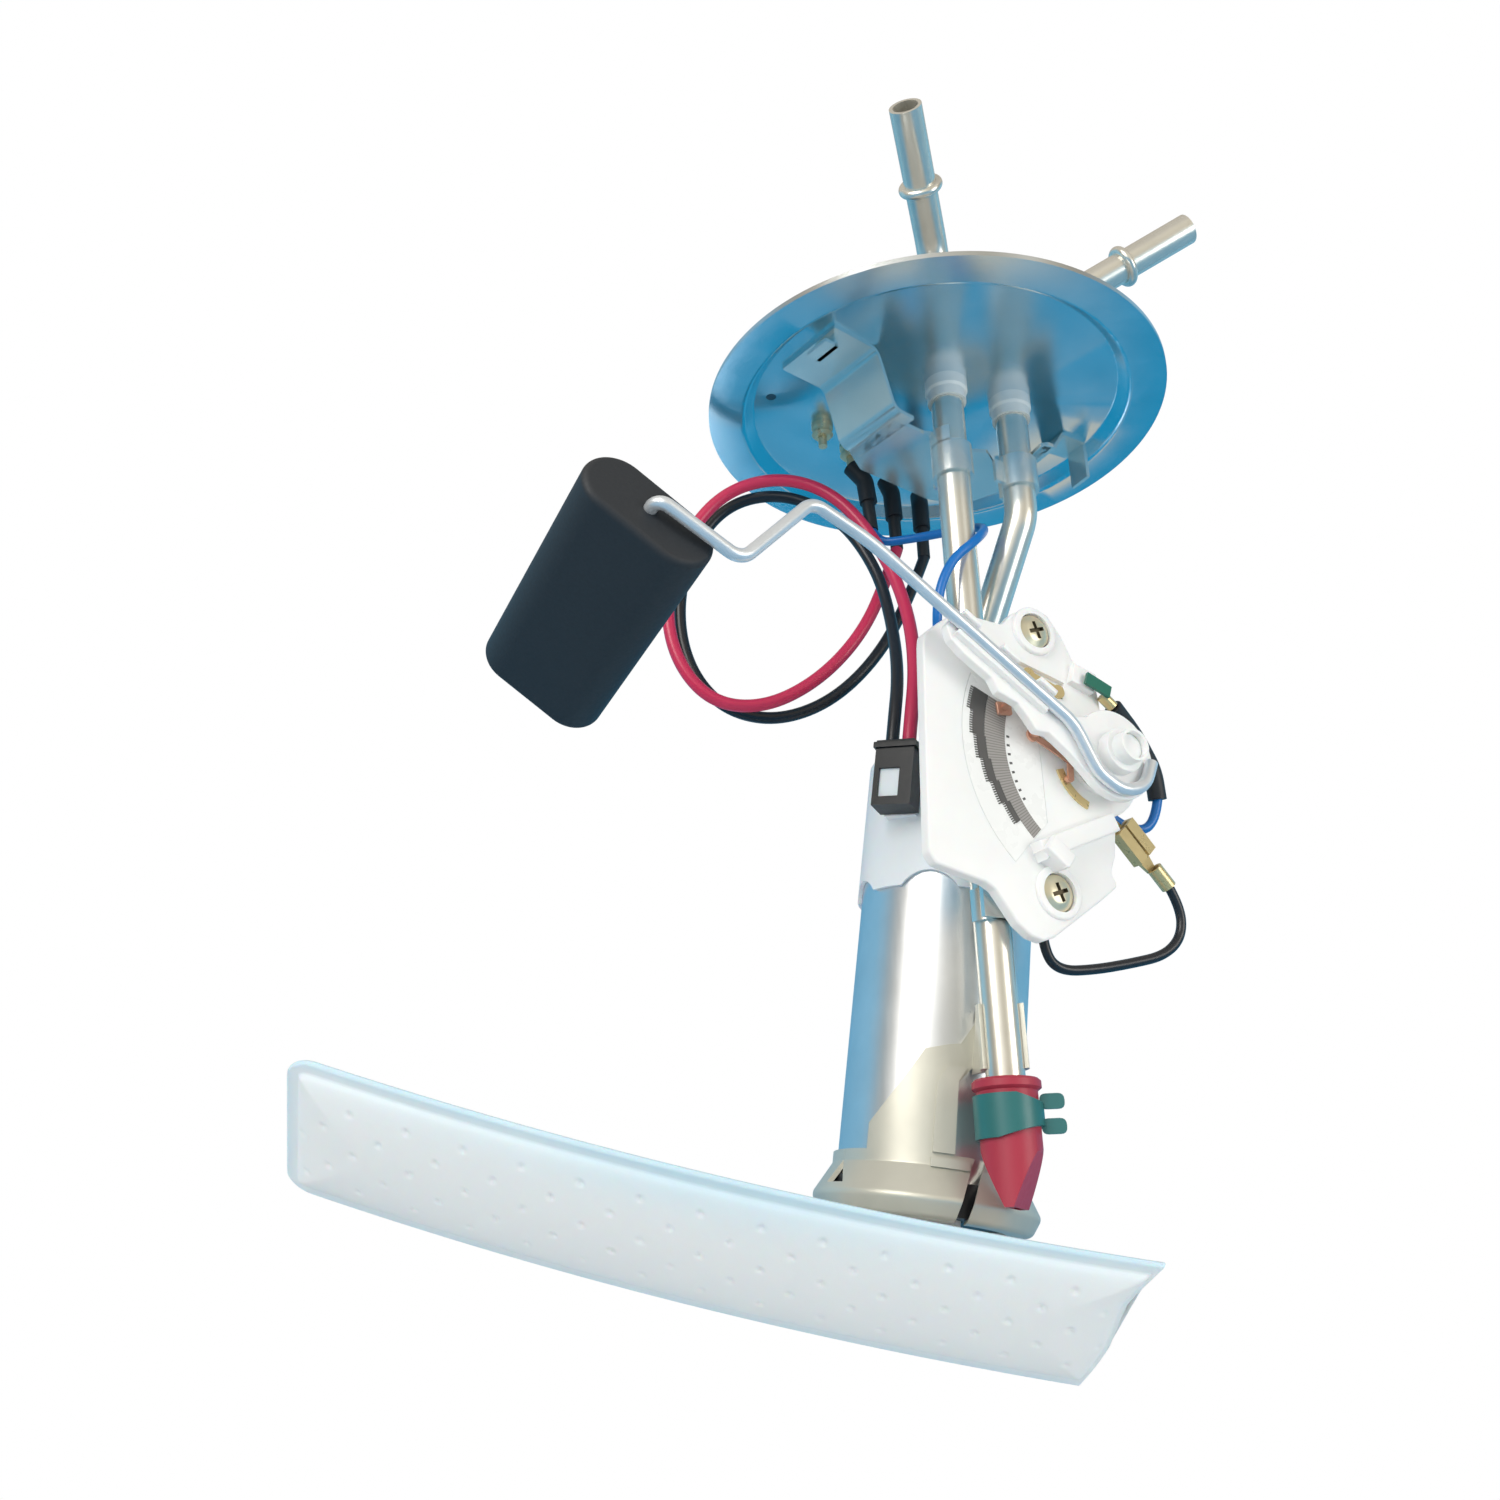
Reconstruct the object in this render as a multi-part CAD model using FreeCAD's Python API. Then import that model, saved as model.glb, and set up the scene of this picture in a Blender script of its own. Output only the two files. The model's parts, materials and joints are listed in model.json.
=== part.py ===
import FreeCAD, Part
import math
import os

os.makedirs("parts", exist_ok=True)
V = FreeCAD.Vector

# In-tank fuel pump module. Millimetres. Z is up, Z = 0 is the underside of the
# flange rim, and the tank's opening is centred on the Z axis.

# flange
flange_r = 57.0          # outer radius of the rim
dish_r = 46.0            # radius of the raised centre
dish_slope = 2.5         # radial width of the step between rim and centre
dish_h = 3.0             # how far the centre stands above the rim
plate_t = 1.2            # sheet thickness
rim_bend = 1.1           # centre-line radius of the step's two bends
drain_r = 1.25           # small gauge hole
drain_xy = (-41.2, -5.4)

# tubes
tube_r = 3.97            # outside radius of both tubes
tube_wall = 0.9
tube_bend = 13.0         # centre-line radius of the bends
braze_gap = 0.03         # gap between a tube and what is brazed round it
return_xy = (2.0, -9.4)
return_end_z = -178.0
return_top_z = 41.0
return_tip = (-8.5, -46.0, 55.5)
supply_xy = (19.1, -1.7)
supply_top_z = 23.3
supply_tip = (68.7, -9.0, 51.3)
supply_knee_z = -31.0
supply_end_gap = 3.5      # between the supply tube and the pump's nipple, inside the hose
supply_turn_up = 13.5    # from the tube's lower end to its last bend
bead_r = 5.5
bead_len = 2.4
bead_back = 20.0         # from the tip to the middle of the bead
collar_r = 5.2
collar_step_r = 4.7
collar_h = 6.0
collar_step_h = 2.6

# strap below the flange
sheet_t = 1.0
sheet_bend = 1.5
strap_w = 16.0
strap_dir = math.degrees(math.atan2(0.62, 0.78))
strap_start = (-32.75, -23.6)
strap_foot_len = 14.2
strap_leg_run = 5.0
strap_z = -12.0          # upper face of the bridge
band_h = 8.5
strap_right_start = (25.0, 4.5)
strap_right_dir = 29.0
strap_right_w = 14.0
strap_right_len = 19.0

# terminals
terminal_xy = [(-27.9, 7.0), (-20.1, 16.5), (-10.4, 23.7), (-0.7, 31.1)]
bush_r = 2.75
bush_hole_gap = 0.05
pin_r = 1.1
pin_top = 14.0
pin_bottom = -3.4
boot_r = 2.3
boot_neck_r = 1.65
boot_ends = [(-15.6, 16.0, -23.0), (-8.7, 22.0, -25.2), (-0.9, 28.0, -24.5)]
socket_l = 47.0
socket_w = 15.0
socket_h = 17.0
socket_wall = 1.8
socket_floor = 2.5

# level sender, drawn in its own plane: x across, y up, z towards the viewer
sender_azimuth = 28.0
plate_w = 10.0           # front face of the sender plate, from the tube's axis
pivot = (24.5, -98.0)
pivot_pin_r = 2.0
pivot_gap = 0.06
pivot_boss_r = 5.2
pivot_boss_h = 3.6
screw_xy = [(10.7, -68.3), (9.9, -129.3)]
screw_head_r = 4.0
screw_head_h = 1.6
screw_shank_r = 1.7
screw_len = 6.4
screw_gap = 0.25
card_t = 0.8
card_gap = 0.1
card_r = 34.2
track_t = 0.12
track_outer_r = 32.5
track_mid_r = 30.0
track_inner_r = 25.0
comb_tooth = 0.9
comb_count = 30
wire_r = 1.4
wire_w = 18.2            # plane of the arm wire
wire_loop_r = 8.6
wire_gap = 0.05
arm_t = 2.2
arm_gap = 0.35
clip_h = 3.0

# float
float_len = 61.0
float_big = 30.0
float_small = 15.0
float_wall = 1.3         # the float is a sealed hollow moulding
float_roll = -36.0
float_dir = (-0.4623, 0.8689, -0.1803)
float_face_gap = 3.4     # from the wire's plane to the near face
float_bore_gap = 0.06

# pump, drawn upright from its lower end
pump_tilt = 8.0
pump_foot = (-12.9, 15.8, -190.0)
shell_r = 19.3
shell_t = 0.8
shell_z = (3.0, 92.0)
crimp_r = 17.6
cover_top = 98.0
nipple_r = 3.97
nipple_len = 16.0
nipple_bore = 2.4
nipple_xy = (3.0, -6.0)
magnet_t = 3.2
magnet_z = (22.0, 62.0)
armature_r = 14.9
armature_z = (24.0, 58.0)
slot_count = 8
shaft_r = 1.6
commutator_r = 6.0
commutator_z = (64.0, 74.0)
bearing_r = 3.6
bearing_len = 6.0
bearing_gap = 0.04
impeller_r = 15.0
impeller_t = 3.6
vane_count = 24
part_gap = 0.05          # slip gap between the pump's stacked pieces
cap_wall = 0.95
cap_gap = 0.05
cap_z = (66.0, 101.5)
inlet_r = 4.0
inlet_len = 9.0
inlet_bore = 3.0
inlet_off = -9.0
ball_r = 1.9
ball_lift = 1.5

# plug on the pump's leads
plug_w = 9.0
plug_h = 16.5
plug_d = 6.2
plug_mid = (-15.0, -20.0, 89.3)
plug_turn = 25.0
lead_x = (-2.0, 2.0)
lead_depth = 4.0

# hose from the pump to the supply tube
hose_wall = 1.9
hose_gap = 0.03
clamp_w = 6.0
clamp_t = 0.8

# lower bracket
cup_t = 0.9
cup_top = 12.0
cup_bulge_r = 23.55      # widest radius of the cup's centre line
cup_lip_r = 17.0
cup_gap = 0.1
seam_w = 2.4
isolator_wall = 1.5
isolator_h = 5.0
band_left = -140.0       # where the plate that hugs the pump starts and ends
band_right = -50.0
saddle_low = -164.5
saddle_high = -151.5

# strainer
sock_w = 39.0
sock_thick = 7.5
sock_wall = 0.7
sock_tilt = 37.0
sock_seal = 3.0
sock_seal_t = 1.4
sock_centre = (197.0, 845.0)
sock_radius = 1060.0
sock_near_y = -14.0
sock_span = (9.2, 18.6)
neck_r = 6.4
neck_gap = 0.04

# valve on the return tube
valve_rim_r = 6.9
valve_rim_h = 1.8
valve_r = 6.1
valve_top = -166.6
valve_body_h = 12.0
valve_len = 24.4
valve_lip = 1.8
valve_slit = 0.5

# leads
red_r = 1.6
black_r = 1.5
thin_r = 1.1
sleeve_r = 2.1


def unit(a):
    a = V(a)
    a.normalize()
    return a


def path_edges(points, radii):
    """Straight runs joined by tangent arcs, one radius per inner point."""
    pts = [V(*p) for p in points]
    edges, last = [], pts[0]
    for i in range(1, len(pts) - 1):
        back, on = unit(pts[i - 1] - pts[i]), unit(pts[i + 1] - pts[i])
        half = (math.pi - back.getAngle(on)) / 2.0
        r = radii[i - 1] if isinstance(radii, (list, tuple)) else radii
        cut = r * math.tan(half)
        a, b = pts[i] + back * cut, pts[i] + on * cut
        mid = unit(back + on)
        m = pts[i] + mid * (r / math.cos(half) - r)
        if (a - last).Length > 1e-4:
            edges.append(Part.LineSegment(last, a).toShape())
        edges.append(Part.Arc(a, m, b).toShape())
        last = b
    edges.append(Part.LineSegment(last, pts[-1]).toShape())
    return edges


def rod(points, radii, r):
    """A round bar swept along a path."""
    edges = path_edges(points, radii)
    first = edges[0]
    start = first.valueAt(first.FirstParameter)
    tangent = first.tangentAt(first.FirstParameter)
    ring = Part.Wire(Part.Circle(start, tangent, r).toShape())
    return Part.Wire(edges).makePipeShell([ring], True, False)


def pipe(points, radii, r, wall):
    return rod(points, radii, r).cut(rod(points, radii, r - wall))


def cord_radii(points):
    """Each arc as large as its two runs allow."""
    pts, out = [V(*p) for p in points], []
    for i in range(1, len(pts) - 1):
        back, on = pts[i - 1] - pts[i], pts[i + 1] - pts[i]
        half = (math.pi - back.getAngle(on)) / 2.0
        out.append(0.45 * min(back.Length, on.Length) / math.tan(half))
    return out


def polygon(points, z=0.0):
    ring = [V(x, y, z) for x, y in points]
    return Part.Wire(Part.makePolygon(ring + [ring[0]]))


def prism(points, z0, z1):
    return Part.Face(polygon(points, z0)).extrude(V(0, 0, z1 - z0))


def spin(points):
    """Revolve a closed (radius, z) outline about Z."""
    ring = [V(r, 0, z) for r, z in points]
    face = Part.Face(Part.makePolygon(ring + [ring[0]]))
    return face.revolve(V(0, 0, 0), V(0, 0, 1), 360)


def cyl(r, z0, z1, x=0.0, y=0.0):
    return Part.makeCylinder(r, z1 - z0, V(x, y, z0))


def ring(r_out, r_in, z0, z1, x=0.0, y=0.0):
    return cyl(r_out, z0, z1, x, y).cut(cyl(r_in, z0 - 1, z1 + 1, x, y))


def box(x0, x1, y0, y1, z0, z1):
    return Part.makeBox(x1 - x0, y1 - y0, z1 - z0, V(x0, y0, z0))


def wedge_sector(r, z0, z1, a0, a1):
    """A pie slice between two angles, in degrees."""
    piece = Part.makeCylinder(r, z1 - z0, V(0, 0, z0), V(0, 0, 1), a1 - a0)
    piece.rotate(V(0, 0, 0), V(0, 0, 1), a0)
    return piece


def strip_face(points, thick, bend):
    """The cross-section of a bent sheet: its centre line in x and z, given a thickness."""
    edges = path_edges([(x, 0, z) for x, z in points], bend)
    sides = []
    for shift in (thick / 2.0, -thick / 2.0):
        side = []
        for e in edges:
            ends = []
            for t in (e.FirstParameter, (e.FirstParameter + e.LastParameter) / 2, e.LastParameter):
                tan = e.tangentAt(t)
                ends.append(e.valueAt(t) + V(-tan.z, 0, tan.x) * shift)
            if isinstance(e.Curve, Part.Line):
                side.append(Part.LineSegment(ends[0], ends[2]).toShape())
            else:
                side.append(Part.Arc(*ends).toShape())
        sides.append(side)
    a, b = sides
    caps = [Part.LineSegment(a[i].Vertexes[i].Point, b[i].Vertexes[i].Point).toShape()
            for i in (0, -1)]
    return Part.Face(Part.Wire(Part.__sortEdges__(a + b + caps)))


def sheet(points, thick, width):
    """A bent strip: centre line in x and z, width along y."""
    face = strip_face(points, thick, sheet_bend + thick / 2.0)
    face.translate(V(0, -width / 2.0, 0))
    return face.extrude(V(0, width, 0))


def fuse(shapes):
    whole = shapes[0]
    for s in shapes[1:]:
        whole = whole.fuse(s)
    return whole.removeSplitter()


def matrix(x, y, z, base):
    return FreeCAD.Matrix(x.x, y.x, z.x, base[0], x.y, y.y, z.y, base[1],
                          x.z, y.z, z.z, base[2], 0, 0, 0, 1)


def moved(shape, m):
    return shape.transformed(m, True)


az = math.radians(sender_azimuth)
sender_m = matrix(V(math.cos(az), math.sin(az), 0), V(0, 0, 1),
                  V(math.sin(az), -math.cos(az), 0), (return_xy[0], return_xy[1], 0))
tilt = math.radians(pump_tilt)
pump_m = matrix(V(math.cos(tilt), 0, -math.sin(tilt)), V(0, 1, 0),
                V(math.sin(tilt), 0, math.cos(tilt)), pump_foot)


def sender_point(x, y, z):
    return tuple(sender_m.multVec(V(x, y, z)))


def pump_point(x, y, z):
    return tuple(pump_m.multVec(V(x, y, z)))


nodes = {}


def keep(name, shape):
    nodes[name] = shape


def keep_sender(name, shape):
    nodes[name] = moved(shape, sender_m)


def keep_pump(name, shape):
    nodes[name] = moved(shape, pump_m)


def flange():
    half = plate_t / 2.0
    line = [(0, dish_h + half), (dish_r, dish_h + half), (dish_r + dish_slope, half),
            (flange_r, half)]
    plate = strip_face(line, plate_t, rim_bend).revolve(V(0, 0, 0), V(0, 0, 1), 360)
    cuts = [cyl(tube_r + braze_gap, -5, 9, *return_xy), cyl(tube_r + braze_gap, -5, 9, *supply_xy),
            cyl(drain_r, -5, 9, *drain_xy)]
    cuts += [cyl(bush_r + bush_hole_gap, -5, 9, *p) for p in terminal_xy]
    for c in cuts:
        plate = plate.cut(c)
    return plate


keep("flange_plate", flange())

return_path = [(*return_xy, return_end_z), (*return_xy, return_top_z), return_tip]
supply_low = cover_top + nipple_len + supply_end_gap
supply_path = [pump_point(*nipple_xy, supply_low), pump_point(*nipple_xy, supply_low + supply_turn_up),
               (*supply_xy, supply_knee_z), (*supply_xy, supply_top_z), supply_tip]


def nose(tube, path):
    """The bead and the thinned nose that a quick connector grips."""
    tip, before = V(*path[-1]), V(*path[-2])
    d = unit(tip - before)
    mid = tip - d * bead_back
    bead = Part.makeTorus(bead_r - bead_len / 2, bead_len / 2, mid, d)
    core = Part.makeCylinder(bead_r - bead_len / 2, bead_len * 0.8, mid - d * bead_len * 0.4, d)
    hole = Part.makeCylinder(tube_r - tube_wall / 2, bead_len * 3, mid - d * bead_len * 1.5, d)
    return fuse([tube, bead.fuse(core).cut(hole)])


keep("return_tube", nose(pipe(return_path, tube_bend, tube_r, tube_wall), return_path))
keep("supply_tube", nose(pipe(supply_path, tube_bend, tube_r, tube_wall), supply_path))
for name, xy in (("return_tube_collar", return_xy), ("supply_tube_collar", supply_xy)):
    inner = tube_r + braze_gap
    low, top = dish_h - collar_h, dish_h
    outline = [(inner, low), (collar_step_r, low), (collar_step_r, low + collar_step_h),
               (collar_r, low + collar_step_h + 0.6), (collar_r, top), (inner, top)]
    c = spin(outline)
    c.translate(V(*xy, 0))
    keep(name, c)


def turn_about(shape, xy, degrees):
    shape.rotate(V(0, 0, 0), V(0, 0, 1), degrees)
    shape.translate(V(*xy, 0))
    return shape


def strap():
    foot_z = dish_h - sheet_t / 2.0
    bridge = strap_z - sheet_t / 2.0
    leg_end = strap_foot_len + strap_leg_run
    left = sheet([(0, foot_z), (strap_foot_len, foot_z), (leg_end, bridge), (leg_end + 6, bridge)],
                 sheet_t, strap_w)
    left = turn_about(left, strap_start, strap_dir)
    s = strap_right_start
    right = sheet([(-4, bridge), (3, bridge), (8, foot_z), (strap_right_len, foot_z)],
                  sheet_t, strap_right_w)
    tab_z = dish_h - 9.0
    tab = box(strap_right_len - 8, strap_right_len, -strap_right_w / 2,
              -strap_right_w / 2 + sheet_t, tab_z, dish_h - sheet_t / 2)
    right = turn_about(right.fuse(tab), s, strap_right_dir)
    deck = prism([(-12.3, -16.9), (-3.6, -9.8), (-2.5, -6.5), (3.2, -3.5), (12.0, -3.0),
                  (15.2, 3.2), (22.0, 3.4), (25.5, -1.6), (28.2, 0.2), (21.6, 12.2), (9.0, 20.5),
                  (-0.5, 17.5), (-19.0, 3.3), (-22.2, -4.2)], strap_z - sheet_t, strap_z)
    bands = []
    for xy, top, open_at in ((return_xy, strap_z - 0.4, 60), (supply_xy, strap_z + 2.0, 150)):
        b = ring(tube_r + sheet_t, tube_r + braze_gap, top - band_h, top)
        b = b.cut(wedge_sector(2 * tube_r, top - band_h - 1, strap_z - sheet_t, open_at,
                               open_at + 55))
        lug = box(tube_r + 0.3, tube_r + 3.2, -sheet_t / 2, sheet_t / 2, top - band_h + 1.2,
                  top - 1.2)
        lug.rotate(V(0, 0, 0), V(0, 0, 1), open_at + 60)
        b = b.fuse(lug)
        b.translate(V(*xy, 0))
        bands.append(b)
    whole = fuse([left, right, deck] + bands)
    for xy in (return_xy, supply_xy):
        whole = whole.cut(cyl(tube_r + braze_gap, strap_z - 20, dish_h, *xy))
    return whole


keep("tube_strap", strap())

bush_low = dish_h - 3.6
bushes, pins, boots = [], [], []
for x, y in terminal_xy:
    r = bush_r
    b = spin([(pin_r + bush_hole_gap, bush_low), (r - 0.7, bush_low), (r, bush_low + 0.8),
              (r - 0.5, bush_low + 1.4), (r - 0.5, bush_low + 2.0), (r, bush_low + 2.6),
              (r, dish_h + plate_t + 0.8), (pin_r + bush_hole_gap, dish_h + plate_t + 0.8)])
    b.translate(V(x, y, 0))
    bushes.append(b)
    pins.append(fuse([cyl(pin_r, pin_bottom, pin_top, x, y),
                      Part.makeCone(pin_r, pin_r * 0.4, 1.2, V(x, y, pin_top))]))
keep("terminal_bushes", Part.makeCompound(bushes))
keep("terminal_pins", Part.makeCompound(pins))
for (x, y), end in zip(terminal_xy[1:], boot_ends):
    top = (x, y, pin_bottom)
    side = (x * 0.25 + end[0] * 0.75, y * 0.25 + end[1] * 0.75, pin_bottom - 4.6)
    low = (end[0] * 0.6 + side[0] * 0.4, end[1] * 0.6 + side[1] * 0.4,
           end[2] * 0.45 + side[2] * 0.55)
    thick = rod([top, side, low], 4.0, boot_r)
    thin = rod([top, side, end], 4.0, boot_neck_r)
    boots.append(thick.fuse(thin).cut(cyl(pin_r, pin_bottom, pin_top, x, y)))
keep("terminal_boots", Part.makeCompound(boots))

row_dir = math.degrees(math.atan2(terminal_xy[-1][1] - terminal_xy[0][1],
                                  terminal_xy[-1][0] - terminal_xy[0][0]))
row_mid = (sum(p[0] for p in terminal_xy) / 4.0, sum(p[1] for p in terminal_xy) / 4.0)


def capsule(length, width, z0, z1):
    half = (length - width) / 2.0
    body = box(-half, half, -width / 2, width / 2, z0, z1)
    return fuse([body, cyl(width / 2, z0, z1, -half), cyl(width / 2, z0, z1, half)])


def top_socket():
    base = dish_h + plate_t
    shell = capsule(socket_l, socket_w, base, base + socket_h)
    inner = capsule(socket_l - 2 * socket_wall, socket_w - 2 * socket_wall, base + socket_floor,
                    base + socket_h + 1)
    shell = shell.cut(inner)
    key = box(-2.0, 2.0, socket_w / 2 - socket_wall - 0.2, socket_w / 2 + 1.6, base, base + socket_h)
    latch = box(-4.5, 4.5, -socket_w / 2 - 1.8, -socket_w / 2 + 0.5, base + socket_h - 5.0,
                base + socket_h - 2.5)
    shell = turn_about(fuse([shell, key, latch]), row_mid, row_dir)
    for x, y in terminal_xy:
        shell = shell.cut(cyl(bush_r + bush_hole_gap, base - 1, base + 0.9, x, y))
        shell = shell.cut(cyl(pin_r + bush_hole_gap, base - 1, base + socket_h, x, y))
    return shell


keep("top_socket", top_socket())

back_w = tube_r + 2 * sheet_t          # where the plastic meets the sheet metal
outline = [(-20.9, -75.2), (-16.4, -73.0), (2.1, -68.0), (5.4, -64.6), (10.0, -62.1),
           (15.6, -63.1), (19.4, -67.6), (23.2, -73.6), (27.7, -75.2), (27.3, -81.8),
           (28.7, -110.9), (27.2, -118.7), (25.4, -122.9), (27.2, -125.6), (22.2, -129.5),
           (8.5, -139.8), (4.5, -141.1), (-2.4, -139.5), (-7.4, -132.7), (-8.5, -130.7),
           (-19.9, -127.8), (-22.8, -124.4), (-22.9, -78.0)]


def rounded(points, r, z0, z1):
    """A plate with its upright corners rounded."""
    body = prism(points, z0, z1)
    upright = [e for e in body.Edges
               if abs(e.Vertexes[0].Point.z - e.Vertexes[-1].Point.z) > abs(z1 - z0) * 0.9]
    return body.makeFillet(r, upright)


def card_outline(grow):
    """The resistor card: a sector about the pivot, cut straight on the right."""
    big = ring(card_r + grow, 11.0, -1, 1, *pivot)
    a0, a1 = 154.0, 226.0
    slice_ = Part.makeCylinder(60, 2, V(0, 0, -1), V(0, 0, 1), a1 - a0 + grow)
    slice_.rotate(V(0, 0, 0), V(0, 0, 1), a0 - grow / 2)
    slice_.translate(V(*pivot, 0))
    left = box(-60, 9.0 + grow, -160, -40, -1, 1)
    return big.common(slice_).common(left)


def slab(shape, z0, z1):
    """The plan of a flat shape, made into a plate between two heights."""
    face = [f for f in shape.Faces if abs(f.normalAt(0, 0).z) > 0.9 and f.CenterOfMass.z > 0][0]
    face = face.copy()
    face.translate(V(0, 0, z0 - face.CenterOfMass.z))
    return face.extrude(V(0, 0, z1 - z0))


bracket_outline = [(-21.8, -76.0), (2.0, -69.0), (10.0, -63.0), (15.4, -64.0), (22.6, -74.4),
                   (26.6, -76.2), (26.6, -117.0), (21.4, -128.8), (8.6, -139.0), (4.2, -141.4),
                   (-3.0, -140.4), (-8.4, -140.4), (-9.6, -131.2), (-20.6, -128.6),
                   (-23.6, -125.0), (-23.6, -77.6)]
saddle_z = [(-88.0, -74.0), (-141.0, -133.5)]


def saddle(low, top):
    """A half sleeve round the tube, with the wings that are welded to the plate."""
    hug = Part.makeCylinder(tube_r + sheet_t, top - low, V(0, low, 0), V(0, 1, 0))
    hug = hug.cut(box(-20, 20, low - 1, top + 1, -20, -1.0))
    wing = box(-tube_r - 4.0, tube_r + 4.0, low, top, tube_r - 0.2, tube_r + sheet_t)
    return hug.fuse(wing).cut(Part.makeCylinder(tube_r + braze_gap, top - low + 2,
                                                V(0, low - 1, 0), V(0, 1, 0)))


bracket = fuse([prism(bracket_outline, tube_r + sheet_t, back_w)]
               + [saddle(low, top) for low, top in saddle_z])
for p in screw_xy:
    bracket = bracket.cut(cyl(screw_shank_r + part_gap, 0, 20, *p))
keep_sender("sender_bracket", bracket)


def bar(p, q, width, z0, z1):
    """A straight rib between two points."""
    a, b = V(*p, 0), V(*q, 0)
    d = unit(b - a)
    s = V(-d.y, d.x, 0) * (width / 2.0)
    return prism([((a + s).x, (a + s).y), ((b + s).x, (b + s).y), ((b - s).x, (b - s).y),
                  ((a - s).x, (a - s).y)], z0, z1)


def sender_housing():
    face = plate_w
    body = rounded(outline, 1.2, back_w, face)
    ribs = [bar((-21.9, -79.0), (-21.9, -123.0), 1.4, face - 0.2, face + 0.9),
            bar((-20.0, -75.9), (1.5, -69.6), 1.4, face - 0.2, face + 0.9),
            bar((-20.0, -126.8), (-8.0, -129.9), 1.4, face - 0.2, face + 0.9),
            bar((-3.0, -73.2), (19.5, -85.8), 5.5, face - 0.2, face + 2.2),
            bar((19.0, -77.0), (26.0, -79.0), 5.0, face - 0.2, face + 2.6),
            bar((4.5, -121.5), (25.6, -112.2), 4.2, face - 0.2, face + 3.4),
            bar((5.4, -120.0), (10.6, -124.0), 4.0, face - 0.2, face + 5.0),
            bar((19.0, -123.8), (26.0, -120.4), 2.2, face - 0.2, face + 2.4)]
    lobe = cyl(screw_head_r + 2.6, face - 0.2, face + 1.5, *screw_xy[0])
    foot = cyl(screw_head_r + 2.8, face - 0.2, face + 1.0, *screw_xy[1])
    boss = cyl(pivot_boss_r, face - 0.2, face + pivot_boss_h, *pivot)
    body = fuse([body, lobe, foot] + ribs)
    sink = screw_head_h + 0.2
    for (x, y), top in zip(screw_xy, (1.5, 1.0)):
        seat = face + top - sink
        body = body.cut(cyl(screw_head_r + screw_gap, seat, face + 9, x, y))
        body = body.cut(cyl(screw_shank_r + part_gap, 0, face + 9, x, y))
    pocket = slab(card_outline(card_gap), face - card_t, face + 6)
    body = body.cut(pocket)
    window = bar((5.4, -79.0), (18.0, -82.8), 4.0, face - 1.22, face + 6)
    body = body.cut(window)
    pin = cyl(pivot_pin_r, face, wire_w + 3.2, *pivot)
    return fuse([body, boss, pin])


keep_sender("sender_housing", sender_housing())
card = slab(card_outline(0.0), plate_w - card_t, plate_w - 0.02)
keep_sender("resistor_card", card)


def arc_strip(r0, r1, a0, a1, z0, z1):
    piece = ring(r1, r0, z0, z1).common(wedge_sector(r1 + 5, z0 - 1, z1 + 1, a0, a1))
    piece.translate(V(*pivot, 0))
    return piece


track_z = plate_w - 0.02
tracks = [arc_strip(track_inner_r, track_mid_r, 160.5, 216.0, track_z, track_z + track_t)]
comb = [arc_strip(track_mid_r + 0.1, track_outer_r - comb_tooth, 160.5, 216.0, track_z,
                  track_z + track_t)]
for i in range(comb_count):
    a = 161.0 + i * 54.0 / comb_count
    comb.append(arc_strip(track_outer_r - comb_tooth - 0.05, track_outer_r + 0.25 * (i // 6 % 2), a,
                          a + 1.1, track_z, track_z + track_t))
tracks.append(fuse(comb))
keep_sender("resistor_tracks", Part.makeCompound(tracks))

brass = fuse([bar((7.4, -79.5), (16.2, -82.3), 2.0, plate_w - 1.2, plate_w + 0.6),
              cyl(1.6, plate_w - 1.2, plate_w + 0.6, 7.8, -79.6),
              cyl(1.6, plate_w - 1.2, plate_w + 0.6, 15.8, -82.2)])
contact = arc_strip(10.2, 12.0, 196.0, 250.0, plate_w, plate_w + 0.5)
keep_sender("sender_brass_terminal", brass)
keep_sender("sender_contact_arc", contact)
keep_sender("sender_output_tab", fuse([bar((22.0, -78.6), (28.6, -81.0), 3.0, plate_w + 2.6,
                                           plate_w + 3.3)]))
keep_sender("sender_ground_tab", bar((26.4, -106.4), (34.5, -111.4), 4.6, back_w - 2.0,
                                     back_w - 1.2).fuse(
    bar((20.0, -102.5), (27.0, -106.8), 4.6, tube_r - 0.1, tube_r + sheet_t)))


def screws():
    out = []
    for (x, y), top in zip(screw_xy, (1.5, 1.0)):
        seat = plate_w + top - screw_head_h - 0.2
        head = spin([(0, seat), (screw_head_r, seat), (screw_head_r, seat + 0.7),
                     (screw_head_r * 0.55, seat + screw_head_h), (0, seat + screw_head_h)])
        head.translate(V(x, y, 0))
        slot_z = seat + screw_head_h - 0.9
        for turn in (20, 110):
            s = box(-2.1, 2.1, -0.45, 0.45, slot_z, slot_z + 3)
            s.rotate(V(0, 0, 0), V(0, 0, 1), turn)
            s.translate(V(x, y, 0))
            head = head.cut(s)
        out.append(fuse([head, cyl(screw_shank_r, seat - screw_len, seat, x, y)]))
    return Part.makeCompound(out)


keep_sender("sender_screws", screws())

# float arm
hub_low = plate_w + pivot_boss_h + arm_gap
arm_top = wire_w - wire_r - wire_gap
arm_low = arm_top - arm_t
arm_root, arm_tip = V(15.0, -95.6, 0), V(-17.0, -72.9, 0)
grip_points = [0.16, 0.50, 0.93]


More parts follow.
